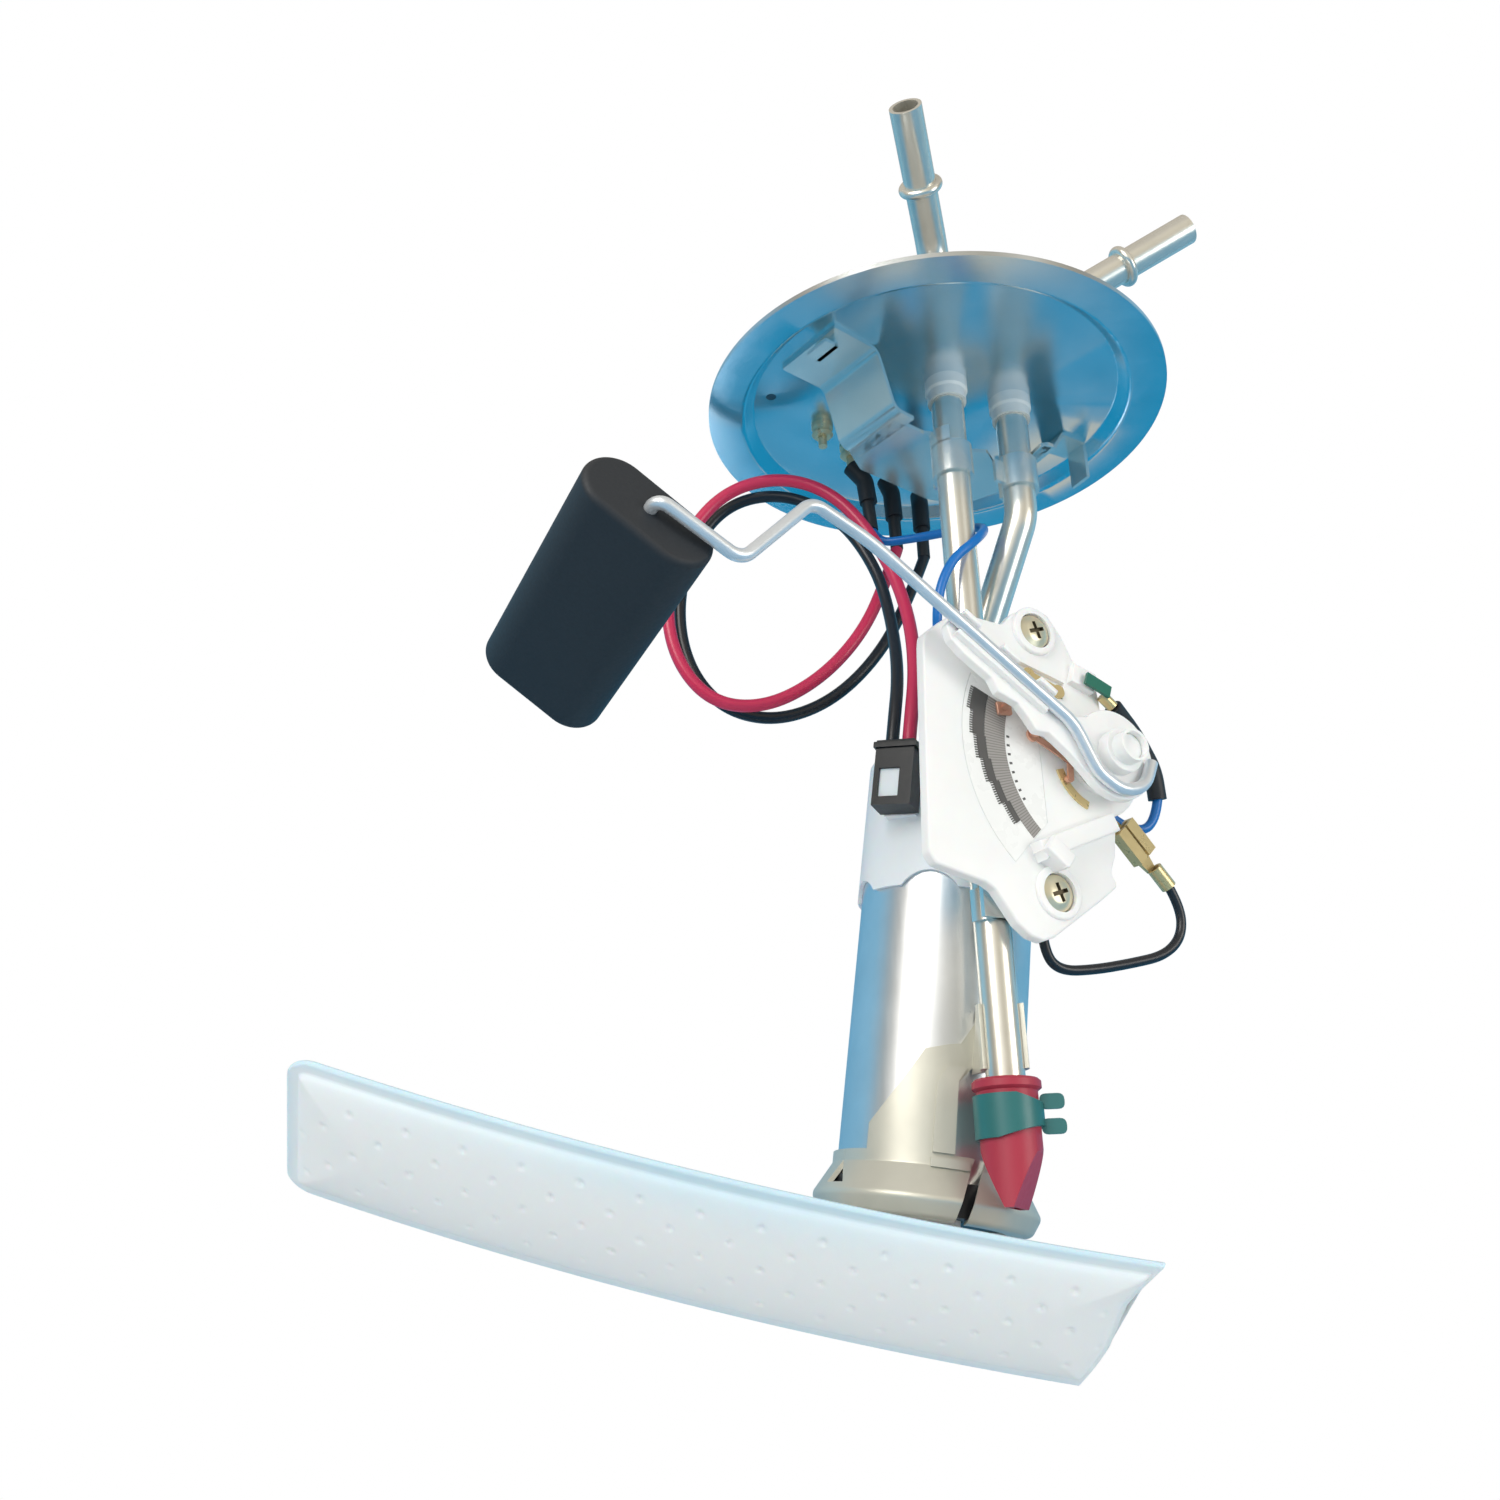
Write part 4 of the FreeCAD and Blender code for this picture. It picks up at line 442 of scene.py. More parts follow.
def runLead(name, lead):
    data = bpy.data.curves.new(name, "CURVE")
    data.dimensions = "3D"
    data.bevel_depth = lead["d"] / 2
    data.bevel_resolution = 5
    data.resolution_u = 10
    data.use_fill_caps = True
    line = data.splines.new("NURBS")
    line.points.add(len(lead["route"]) - 1)
    for point, (x, y, z) in zip(line.points, lead["route"]):
        point.co = (x / 1000, y / 1000, z / 1000, 1)
    line.order_u = 3
    line.use_endpoint_u = True
    line.use_smooth = True
    data.materials.append(finishes[lead["finish"]])
    obj = bpy.data.objects.new(name, data)
    stand(obj, lead["node"], lead["slot"])
    start = [c / 1000 for c in lead["route"][0]]


for name, lead in leads.items():
    runLead(name, lead)
scene.objects["redLead"].visible_glossy = False        # the satin flange shows no red
print("leads are run:", len(leads))

# besides the shape and the dimples, a few entries place the painted blue light of the backdrop on the
# cloth: near the seams and in a patch on the lower side
bag = {
    "width": 0.039, "thick": 0.0075, "tilt": 37.0, "seal": 0.003, "sealThick": 0.0014,
    "centre": (0.197, 0.845), "radius": 1.06, "nearY": -0.014, "span": (9.2, 18.6),
    "rightCut": ((0.0, 0.0005), (0.012, -0.0034), (0.025, -0.005), (0.039, -0.0078)), "corner": 0.006,
    "pitch": 0.012, "rows": 0.0054, "slant": 0.12, "dimple": 0.0005, "dimpleSize": 0.0009,
    "paintedLowBlue": 0.45, "paintedLowAt": (0.06, 0.48), "paintedLowReach": (0.2, 0.34), "bunch": 0.35, "wave": 0.0006,
    "rim": 0.0006, "paintedBlueFade": 0.0022, "across": 84, "along": 420}


class Editing:        # a mesh that is opened for bmesh work and written back
    def __init__(self, mesh):
        self.mesh, self.work = mesh, bmesh.new()

    def __enter__(self):
        self.work.from_mesh(self.mesh)
        return self.work

    def __exit__(self, *_):
        self.work.to_mesh(self.mesh)
        self.work.free()


def bagPoints(across, off, angle, bag):
    # a point of the bag from its place across, off its middle plane and round its arc
    tilt = math.radians(bag["tilt"])
    rho = bag["radius"] + across * math.sin(tilt) + off * math.cos(tilt)
    x = bag["centre"][0] - rho * np.sin(angle)
    y = bag["nearY"] + across * math.cos(tilt) - off * math.sin(tilt)
    z = bag["centre"][1] - rho * np.cos(angle)
    return np.stack([x, y, z], -1)


def gridMesh(name, points, closeU=False, closeV=False):
    # points is an array (rows, columns, 3); quads join neighbours
    rows, cols = points.shape[:2]
    index = np.arange(rows * cols).reshape(rows, cols)
    if closeU:
        index = np.vstack([index, index[:1]])
    if closeV:
        index = np.hstack([index, index[:, :1]])
    quads = np.stack([index[:-1, :-1], index[1:, :-1], index[1:, 1:], index[:-1, 1:]], -1)
    quads = quads.reshape(-1, 4)
    mesh = bpy.data.meshes.new(name)
    mesh.from_pydata(points.reshape(-1, 3).tolist(), [], quads.tolist())
    return mesh


def sewBag(name, bag):
    # ring of across positions (lower side out, upper side back), carried along the arc
    w, seal, half = bag["width"], bag["seal"], bag["across"]
    t = (1 - np.cos(np.linspace(0, math.pi, half + 1))) / 2
    t = bag["bunch"] * t + (1 - bag["bunch"]) * np.linspace(0, 1, half + 1)
    side = np.concatenate([t, t[::-1]])                # under side, then upper side
    sign = np.concatenate([-np.ones(half + 1), np.ones(half + 1)])
    perMetre = 1.0 / bag["radius"]
    a1 = math.radians(bag["span"][1])
    u = np.linspace(0, 1, bag["along"])
    cutAcross, cutAlong = np.array(bag["rightCut"]).T
    across0 = side * w
    start = math.radians(bag["span"][0]) - np.interp(across0, cutAcross, cutAlong) * perMetre
    start = start + bag["wave"] * np.sin(across0 / w * 2 * math.pi) * perMetre
    angle = start[None, :] + (a1 - start[None, :]) * u[:, None]
    fromLeft = (a1 - angle) * bag["radius"]
    fromRight = (angle - start[None, :]) * bag["radius"]
    c = bag["corner"]                                  # the two left corners are round
    inset = np.where(fromLeft < c, c - np.sqrt(np.clip(c * c - (c - fromLeft) ** 2, 0, None)), 0)
    across = inset + (w - 2 * inset) * side[None, :]
    edge = np.minimum(np.minimum(across - inset, w - inset - across),
                      np.minimum(fromLeft, fromRight + 0.002))
    swell = np.clip((edge - seal) / (w / 2 - seal), 0, 1)
    swell = np.sqrt(np.clip(1 - (1 - swell) ** 2, 0, 1))
    flat = bag["sealThick"] / 2
    rim = np.clip(edge / bag["rim"], 0, 1)
    height = flat * np.sqrt(rim) + (bag["thick"] / 2 - flat) * swell
    s = angle * bag["radius"]
    p = bag["pitch"]
    row = across / bag["rows"] + 0.5
    dx = (np.mod((s + bag["slant"] * across) / p + 0.5 * np.mod(np.round(row), 2), 1) - 0.5) * p
    dy = (row - np.round(row)) * bag["rows"]
    dots = np.exp(-(dx ** 2 + dy ** 2) / (bag["dimpleSize"] ** 2 * 0.5))
    height = height - bag["dimple"] * dots * np.clip(swell * 1.6, 0, 1)
    points = bagPoints(across, sign[None, :] * height, angle, bag)
    mesh = gridMesh(name, points, closeV=True)
    # painted blue light of the backdrop: strong near the seams and in a patch along the lower side, kept as
    # the seam attribute
    (la, lu), (ra, ru) = bag["paintedLowAt"], bag["paintedLowReach"]
    low = np.exp(-((across / w - la) / ra) ** 2) * np.exp(-((u[:, None] - lu) / ru) ** 2)
    paintedBlue = np.clip(np.exp(-edge / bag["paintedBlueFade"]) + bag["paintedLowBlue"] * low, 0, 1)
    mesh.attributes.new("seam", "FLOAT", "POINT").data.foreach_set("value", paintedBlue.ravel())
    with Editing(mesh) as work:
        bmesh.ops.remove_doubles(work, verts=work.verts, dist=1e-6)
        bmesh.ops.holes_fill(work, edges=[e for e in work.edges if e.is_boundary], sides=0)
        bmesh.ops.recalc_face_normals(work, faces=work.faces)
    mesh.shade_smooth()
    mesh.set_sharp_from_angle(angle=math.radians(60))
    mesh.materials.append(finishes["strainerCloth"])
    stand(bpy.data.objects.new(name, mesh), "strainer_sock", "strainer_cloth")


sewBag("strainerBag", bag)
print("strainer bag is sewn")

hardPieces = {
    "flange_plate": "flangeSteel", "return_tube": "tubeSteel", "supply_tube": "tubeSteel",
    "return_tube_collar": "collarSteel", "supply_tube_collar": "collarSteel",
    "terminal_bushes": "giltMetal", "terminal_pins": "giltMetal", "terminal_boots": "blackRubber",
    "top_socket": "blackPlastic", "sender_brass_terminal": "brassSheet",
    "sender_contact_arc": "brassSheet", "sender_output_tab": "greenPlate",
    "sender_ground_tab": "brassSheet", "sender_screws": "zincScrew", "arm_wire": "brightWire",
    "float": "floatSkin", "float_retainer": "brightWire", "pump_shell": "pumpAluminium",
    "pump_inlet_housing": "blackPlastic", "pump_impeller": "blackPlastic", "pump_magnets": "darkIron",
    "armature_core": "darkIron", "armature_windings": "copperSheet", "armature_shaft": "brightWire",
    "commutator": "copperSheet", "pump_outlet_cover": "blackPlastic", "pump_brushes": "darkIron",
    "brush_springs": "brightWire", "pump_bearings": "brassSheet", "check_ball": "brightWire",
    "check_stop": "blackPlastic", "pump_isolator_cap": "capPlastic", "outlet_hose": "blackRubber",
    "hose_clamps": "zincScrew", "lower_isolator": "blackRubber", "strainer_neck": "whitePlastic",
    "strainer_frame": "whitePlastic", "strainer_retainer": "zincScrew", "duckbill_valve": "redRubber",
    "lead_sleeve": "blackRubber", "output_crimp": "brassSheet", "ground_spade": "brassSheet",
    "ground_eyelet": "brassSheet"}
sharpFrom = math.radians(32)


def dress(node, mesh, finish):
    # smooth up to the sharp edges, in its finish and in the place of its node
    mesh.name = node + "Skin"
    mesh.materials.clear()
    mesh.materials.append(finishes[finish])
    mesh.shade_smooth()
    mesh.set_sharp_from_angle(angle=sharpFrom)
    obj = bpy.data.objects.new(node + "Skin", mesh)
    stand(obj, node, slotOf[node])
    return obj


def smoothPiece(node, finish):
    # a merged copy of the node's own mesh
    mesh = nodes[node].data.copy()
    with Editing(mesh) as work:
        bmesh.ops.remove_doubles(work, verts=work.verts, dist=2e-6)
        bmesh.ops.dissolve_degenerate(work, edges=work.edges, dist=1e-7)
    if "custom_normal" in mesh.attributes:
        mesh.attributes.remove(mesh.attributes["custom_normal"])
    return dress(node, mesh, finish)


def rotation(degrees, axis):
    return Matrix.Rotation(math.radians(degrees), 4, axis)


# drawn pieces: plates and drums in the sender's plane (x across, y up, z to the viewer), in mm
rowMm = Matrix.Scale(0.001, 4)
upright = rotation(90, "X")        # a plate's y becomes z
tubeAt = Matrix.Translation((0.0020, -0.0094, 0))        # the return tube's own line
senderRow = tubeAt @ rotation(28, "Z") @ upright @ rowMm
pumpLean = 8.0
pumpRow = Matrix.Translation((-0.0129, 0.0158, -0.190)) @ rotation(pumpLean, "Y") @ rowMm


def arcPoints(centre, r, a0, a1, step=4.0):
    count = max(2, int(abs(a1 - a0) / step) + 1)
    turns = np.radians(np.linspace(a0, a1, count))
    return [(centre[0] + r * math.cos(t), centre[1] + r * math.sin(t)) for t in turns]


def cornerArc(before, here, after, radius, share, steps):
    # an arc in place of a corner, taking up at most a share of its sides
    here = np.array(here, float)
    back, on = np.array(before) - here, np.array(after) - here
    lb, lo = np.linalg.norm(back), np.linalg.norm(on)
    half = math.acos(float(np.clip(back @ on / (lb * lo), -1, 1))) / 2
    if half > math.radians(86):        # nearly straight
        return [here]
    cut = min(radius / math.tan(half), share * lb, share * lo)
    a, b = here + back / lb * cut, here + on / lo * cut
    return [(1 - t) ** 2 * a + 2 * t * (1 - t) * here + t * t * b for t in np.linspace(0, 1, steps)]


def roundOff(points, radius):
    # a closed outline with its corners made arcs
    ahead = points[1:] + points[:1]
    return [tuple(q) for k, here in enumerate(points)
            for q in cornerArc(points[k - 1], here, ahead[k], radius, 0.45, 5)]


def plate(outline, low, high, soft=0.0):
    # a prism over an outline; soft rounds the edges of its upper face
    count = len(outline)
    foot, top = list(range(count)), list(range(count, 2 * count))
    walls = [(k, (k + 1) % count, (k + 1) % count + count, k + count) for k in foot]
    levels = (low, float(np.float32(low) + np.float32(high - low)))        # rounded as a mesh rounds
    mesh = bpy.data.meshes.new("drawn")
    mesh.from_pydata([(x, y, z) for z in levels for x, y in outline], [], [foot[::-1], top] + walls)
    with Editing(mesh) as work:
        bmesh.ops.recalc_face_normals(work, faces=work.faces)
        if soft:
            rim = [e for e in work.edges if all(abs(v.co.z - high) < 1e-6 for v in e.verts)]
            bmesh.ops.bevel(work, geom=rim, offset=soft, segments=3, profile=0.5, affect="EDGES")
    return mesh


def drum(r, low, high, x, y, soft=0.0):
    return plate(arcPoints((x, y), r, 0, 352.5, 7.5), low, high, soft)


def rib(p, q, width, low, high, soft=0.0):
    d = Vector((q[0] - p[0], q[1] - p[1])).normalized() * width / 2
    side = (-d.y, d.x)
    return plate([(p[0] + side[0], p[1] + side[1]), (p[0] - side[0], p[1] - side[1]),
                  (q[0] - side[0], q[1] - side[1]), (q[0] + side[0], q[1] + side[1])],
                 low, high, soft)


def block(x0, x1, y0, y1, low, high, soft=0.0):
    return plate([(x0, y0), (x1, y0), (x1, y1), (x0, y1)], low, high, soft)


def carve(adds, cuts=(), within=()):
    # plates and drums joined to one body, kept within others, then the cuts taken out
    body = bpy.data.objects.new("drawnBody", adds[0])
    scene.collection.objects.link(body)
    tools = []
    for kind, meshes in (("UNION", adds[1:]), ("INTERSECT", within), ("DIFFERENCE", cuts)):
        for mesh in meshes:
            tool = bpy.data.objects.new("drawnTool", mesh)
            scene.collection.objects.link(tool)
            step = body.modifiers.new("step", "BOOLEAN")
            step.object, step.operation, step.solver = tool, kind, "EXACT"
            tools.append(tool)
    ready = body.evaluated_get(bpy.context.evaluated_depsgraph_get())
    made = bpy.data.meshes.new_from_object(ready)
    for obj in tools + [body]:
        mesh = obj.data
        bpy.data.objects.remove(obj)
        bpy.data.meshes.remove(mesh)
    return made


def setPiece(node, mesh, row, finish):
    # a drawn body put in its place in the row frame instead of the node's own mesh
    mesh.transform(row)
    with Editing(mesh) as work:
        bmesh.ops.remove_doubles(work, verts=work.verts, dist=2e-6)
        bmesh.ops.triangulate(work, faces=[f for f in work.faces if len(f.verts) > 4])
        bmesh.ops.recalc_face_normals(work, faces=work.faces)
    return dress(node, mesh, finish)


def turned(mesh, *moves):
    for move in moves:
        mesh.transform(move)
    return mesh


pivot = (24.5, -98.0)
case = {
    "face": 10.0, "back": 5.97, "rim": 2.6, "corner": 2.0, "soft": 0.55, "lobe": 12.2,
    "left": [(28.5, -110.9), (27.2, -118.7), (25.4, -122.9), (27.0, -125.6), (22.2, -129.2),
    (8.0, -138.9), (5.0, -140.0), (1.8, -139.2), (-1.2, -137.0), (-6.2, -130.4), (-8.4, -129.2),
    (-20.4, -126.8), (-22.0, -124.6), (-19.8, -78.0), (-19.4, -75.4), (-15.4, -71.8), (-10.2, -67.9),
    (2.2, -68.2), (5.2, -64.8), (10.0, -62.1), (15.3, -62.6), (19.0, -67.6), (21.8, -73.4),
    (27.3, -74.9), (28.0, -82.0)], "screws": [(10.7, -68.3, 1.0), (9.9, -129.3, 0.8)], "head": 4.25,
    "sink": 2.0, "ring": 1.6, "hole": 1.8, "bury": 0.9, "above": 6, "ribs": [((19.6, -77.0),
    (25.8, -78.8), 5.0, 1.8, 0.4), ((4.5, -121.5), (25.6, -112.2), 4.2, 3.4, 0.5), ((5.4, -120.0),
    (10.6, -124.0), 4.0, 5.0, 0.5)], "slot": {"line": ((5.0, -78.6), (17.6, -81.6), 4.4), "deep": 1.22},
    "boss": 7.4, "bossTop": 1.2, "pin": 3.0, "pinTop": 21.4, "cardR": 35.9, "cardDeep": 0.8,
    "cardFrom": 154.0, "cardTo": 226.0, "cardRight": -15.5, "sheet": 4.97, "tubeR": 3.97,
    "plate": [(-16.0, -75.6), (-9.4, -70.2), (2.6, -70.4), (10.0, -64.4), (15.0, -65.0), (21.0, -75.4),
    (26.2, -76.6), (26.6, -117.0), (21.4, -127.6), (7.6, -137.2), (2.6, -137.0), (-4.6, -130.2),
    (-7.0, -127.6), (-17.4, -125.2), (-19.0, -122.5), (-17.6, -78.4)], "saddles": [(-88.0, -74.0),
    (-134.6, -127.8)]}


def cardOutline(case, grow):
    # sector about the pivot, cut straight on its right
    a0, a1 = case["cardFrom"] - grow / 2, case["cardTo"] + grow / 2
    ends = [(pivot[0] + case["cardRight"] + grow,
             pivot[1] + (case["cardRight"] + grow) * math.tan(math.radians(a))) for a in (a1, a0)]
    return arcPoints(pivot, case["cardR"] + grow, a0, a1, 1.5) + ends


def drawCase(case):
    face, low = case["face"], case["face"] - case["rim"]
    side = math.degrees(math.acos(3.7 / case["lobe"]))
    outline = roundOff(case["left"], case["corner"])
    outline += arcPoints(pivot, case["lobe"], side, -side, 5.0)
    adds = [plate(outline, low, face, case["soft"])]
    bed, above = face - case["bury"], face + case["above"]
    for x, y, rise in case["screws"]:
        adds.append(drum(case["head"] + case["ring"], bed, face + rise, x, y, 0.5))
    adds += [rib(p, q, wide, bed, face + rise, soft) for p, q, wide, rise, soft in case["ribs"]]
    pocket, slot = cardOutline(case, 0.1), case["slot"]
    cuts = [plate(pocket, face - case["cardDeep"], above), rib(*slot["line"], face - slot["deep"], above)]
    for x, y, rise in case["screws"]:
        cuts += [drum(case["head"], face + rise - case["sink"], above + 3, x, y),
                 drum(case["hole"], face - case["above"], above + 2, x, y)]
    made = carve(adds, cuts)
    pad = plate(case["plate"], case["back"], face - case["rim"] / 2)
    made = carve([made, pad], [plate(pocket, face - case["cardDeep"], above)])
    return carve([made, drum(case["boss"], bed, face + case["bossTop"], *pivot),
                  drum(case["pin"], face, case["pinTop"], *pivot, 0.3)])


def drawSheet(case):
    # back plate behind the housing and the two saddles that hold it on the return tube
    parts = [plate(roundOff(case["plate"], 1.0), case["sheet"], case["back"])]
    r, t = case["tubeR"], case["back"] - case["sheet"]
    for low, high in case["saddles"]:
        half = arcPoints((0, 0), r + t, 176, 364, 5) + arcPoints((0, 0), r + 0.03, 364, 176, 5)
        parts += [turned(plate(half, low, high), rotation(-90, "X")),
                  block(-r - 1.6, r + 1.6, low, high, r - 0.2, r + t + 0.02)]
    return joined(parts)


band = {
    "from": 158.5, "to": 216.0, "lightTo": 225.5, "steps": 6, "outer": 35.0, "taper": 4.8, "mid": 30.2,
    "midTaper": 2.2, "inner": 24.9, "tooth": 0.8, "count": 60, "thick": 0.12}


def trackOutlines(band):
    # the light strip and the dark comb, whose edges step inwards towards the foot
    wide = (band["to"] - band["from"]) / band["steps"]
    edge, teeth, inside = [], [], []
    for k in range(band["steps"]):
        a0, along = band["from"] + k * wide, k / (band["steps"] - 1)
        out = band["outer"] - band["taper"] * along
        mid = band["mid"] - band["midTaper"] * max(0.0, along - 0.3) / 0.7
        edge += arcPoints(pivot, mid, a0, a0 + wide, 2.0)
        inside += arcPoints(pivot, mid + 0.1, a0, a0 + wide, 2.0)
        pitch = wide * band["steps"] / band["count"]
        for i in range(band["count"] // band["steps"]):
            a = a0 + i * pitch
            for turn, r in ((0, out - band["tooth"]), (0.25, out - band["tooth"]), (0.25, out),
                            (0.75, out), (0.75, out - band["tooth"]), (0.999, out - band["tooth"])):
                teeth += arcPoints(pivot, r, a + turn * pitch, a + turn * pitch, 2.0)[:1]
    edge += arcPoints(pivot, mid, band["to"] + 0.2, band["lightTo"], 2.0)
    inner = arcPoints(pivot, band["inner"], band["lightTo"], band["from"], 2.0)
    return edge + inner, teeth + inside[::-1]


arm = {
    "low": 14.55, "top": 16.75, "hubLow": 11.55, "wire": 18.2, "wireR": 1.4, "hub": 6.6, "skirt": 10.4,
    "neck": 5.0, "cap": 3.7, "bore": 3.05, "root": (14.4, -95.14), "tip": (-16.0, -75.65),
    "clips": (0.34, 0.64, 0.95), "clipTall": 3.0, "railTall": 1.6, "clipHalf": 2.4, "clipWide": 1.2,
    "rail": (0.26, 0.98), "blade": [(-15.6, -73.2), (-18.4, -76.2), (-17.5, -79.4), (-14.7, -82.0),
    (-7.8, -86.2), (-6.2, -89.2), (-1.3, -90.9), (1.0, -93.6), (3.1, -96.4), (6.4, -96.4),
    (11.6, -100.1), (17.6, -105.6), (24.5, -98.0), (24.0, -89.6), (14.2, -91.0)]}


def drawArm(arm):
    top, low = arm["top"], arm["low"]
    adds = [plate(roundOff(arm["blade"], 1.0), low, top, 0.35),
            drum(arm["skirt"], low - 0.01, top - 0.01, *pivot, 0.5),
            drum(arm["hub"], arm["hubLow"], top - 0.3, *pivot),
            drum(arm["neck"], top - 0.6, arm["wire"] + 1.4, *pivot, 0.3),
            drum(arm["cap"], arm["wire"] + 0.9, arm["wire"] + 4.6, *pivot, 0.4)]
    root, tip = Vector(arm["root"]), Vector(arm["tip"])
    d = (tip - root).normalized()
    side = Vector((-d.y, d.x)) * (1 if d.x > 0 else -1)
    off, wide = side * (arm["wireR"] + 0.65), arm["clipWide"]
    for t in arm["clips"]:
        c, half = root + (tip - root) * t + off, d * arm["clipHalf"]
        adds.append(rib(c - half, c + half, wide, top - 0.5, top + arm["clipTall"], 0.3))
    p, q = (root + (tip - root) * t - off for t in arm["rail"])
    adds.append(rib(p, q, wide, top - 0.5, top + arm["railTall"], 0.3))
    return carve(adds, [drum(arm["bore"], arm["hubLow"] - 1, arm["wire"] + 8, *pivot)])


wiper = {
    "pad": [(-2.3, -88.2), (1.7, -88.0), (1.9, -90.7), (-1.9, -91.3)], "post": (-0.2, -89.2),
    "joint": (6.0, -95.0), "link": (5.4, -95.0), "elbow": (15.8, -99.4), "leaf": ((15.8, -98.9),
    (15.4, -103.8)), "foot": (15.3, -103.4)}


def drawWiper(wiper, face, low):
    # pad on the tracks and its post, and the forked leaf that runs on the brass arc
    post, joint = wiper["post"], wiper["joint"]
    return carve([plate(roundOff(wiper["pad"], 0.5), face + 0.25, face + 0.85, 0.15),
                  drum(0.9, face + 0.6, low, *post), drum(1.5, face + 1.4, face + 2.0, *joint),
                  drum(0.8, face + 1.7, low, *joint),
                  rib(joint, wiper["elbow"], 1.5, face + 1.45, face + 1.9),
                  rib(*wiper["leaf"], 1.5, face + 1.35, face + 1.85),
                  drum(0.9, face + 0.65, face + 1.7, *wiper["foot"]),
                  rib(wiper["link"], post, 1.4, low - 0.5, low - 0.02)])


def joined(meshes):
    made = bpy.data.meshes.new("joined")
    with Editing(made) as work:
        for mesh in meshes:
            work.from_mesh(mesh)
            bpy.data.meshes.remove(mesh)
    return made


def bentLine(points, bend):
    # an open line with its inner corners made arcs
    inner = [q for row in zip(points, points[1:], points[2:]) for q in cornerArc(*row, bend, 0.48, 7)]
    return [np.array(points[0], float)] + inner + [np.array(points[-1], float)]


def stripOutline(points, thick, bend):
    # cross-section of a bent sheet along its centre line
    line = bentLine(points, bend)
    sides = [[], []]
    for k, here in enumerate(line):
        way = line[min(k + 1, len(line) - 1)] - line[max(k - 1, 0)]
        way = way / np.linalg.norm(way)
        off = np.array([-way[1], way[0]]) * thick / 2
        sides[0].append(tuple(here + off))
        sides[1].append(tuple(here - off))
    return sides[0] + sides[1][::-1]


face = case["face"]
drawn = {"sender_housing": (drawCase(case), senderRow, "whitePlastic"),
         "resistor_card": (plate(cardOutline(case, 0.0), face - 0.8, face - 0.02), senderRow,
                           "cardCeramic"),
         "resistor_tracks": (joined([plate(outline, face - 0.02, face - 0.02 + band["thick"])
                                     for outline in trackOutlines(band)]), senderRow, "trackInk"),
         "rotor_arm": (drawArm(arm), senderRow, "whitePlastic"),
         "sender_bracket": (drawSheet(case), senderRow, "sheetSteel"),
         "wiper_contacts": (drawWiper(wiper, face, arm["low"]), senderRow, "copperSheet")}
print("sender is drawn:", len(drawn))


def lathe(outline, count=96):
    # a closed outline (radius, height) carried once round the upright axis
    turns = np.linspace(0, 2 * math.pi, count, endpoint=False)
    r, z = np.array(outline).T
    points = np.stack([r[None, :] * np.cos(turns)[:, None], r[None, :] * np.sin(turns)[:, None],
                       np.broadcast_to(z, (count, len(z)))], -1)
    mesh = gridMesh("drawn", points, closeU=True, closeV=True)
    with Editing(mesh) as work:
        bmesh.ops.recalc_face_normals(work, faces=work.faces)
    return mesh


plug = {"w": 4.5, "d": 3.1, "top": 8.25, "low": -7.4, "mid": (-15.0, -20.0, 89.3), "turn": -25.0,
        "window": (-3.3, 1.5, -5.4, 1.4)}


def drawPlug(plug):
    # moulded plug with a window, in which the cap's catch shows
    w, d, top, low = plug["w"], plug["d"], plug["top"], plug["low"]
    x0, x1, z0, z1 = plug["window"]
    adds = [block(-w, w, -d, d, low, top - 0.01, 0.3),
            block(-w - 0.5, w + 0.5, -d - 0.5, d, top - 2.0, top - 0.6, 0.2)]
    return carve(adds, [block(x0, x1, -d - 1, -d + 1.4, z0, z1)])


def plugCatch(plug):
    x0, x1, z0, z1 = plug["window"]
    return block(x0 + 0.01, x1 - 0.01, -plug["d"] + 0.7, -plug["d"] + 1.41, z0 + 0.01, z1 - 0.01)


plugRow = pumpRow @ Matrix.Translation(plug["mid"]) @ rotation(plug["turn"], "Z")

cup = {
    "hug": 19.4, "thick": 0.9, "top": 10.0, "bulge": 23.55, "lip": 17.0, "floor": -2.15, "seam": 3.2,
    "seamW": 2.4, "fold": 6.0, "plate": [(-14.2, 7.0), (-14.2, 15.2), (-9.7, 22.1), (-4.4, 30.6),
    (0.6, 32.0), (2.8, 32.4), (6.0, 37.9), (6.4, 39.2), (9.2, 39.2), (8.3, 31.0), (7.1, 29.6),
    (2.7, 24.5), (2.9, 10.2), (3.2, 7.0)], "lap": [(-1.6, 10.2), (-1.6, 24.0), (0.4, 27.6),
    (4.4, 27.6), (2.7, 24.5), (2.9, 10.2)], "tube": (2.0, -9.4), "saddle": (-164.5, -151.5),
    "tubeR": 4.0, "notch": (-22.6, -18.4, -14.5, -8.5, 3.0)}


def hugging(outline, inner, outer):
    # a patch of sheet on the pump's front, with an outline in x and height
    window = turned(plate(outline, 0, 40), upright)
    return carve([drum(outer, 0, 50, 0, 0)], [drum(inner, -1, 51, 0, 0)], [window])


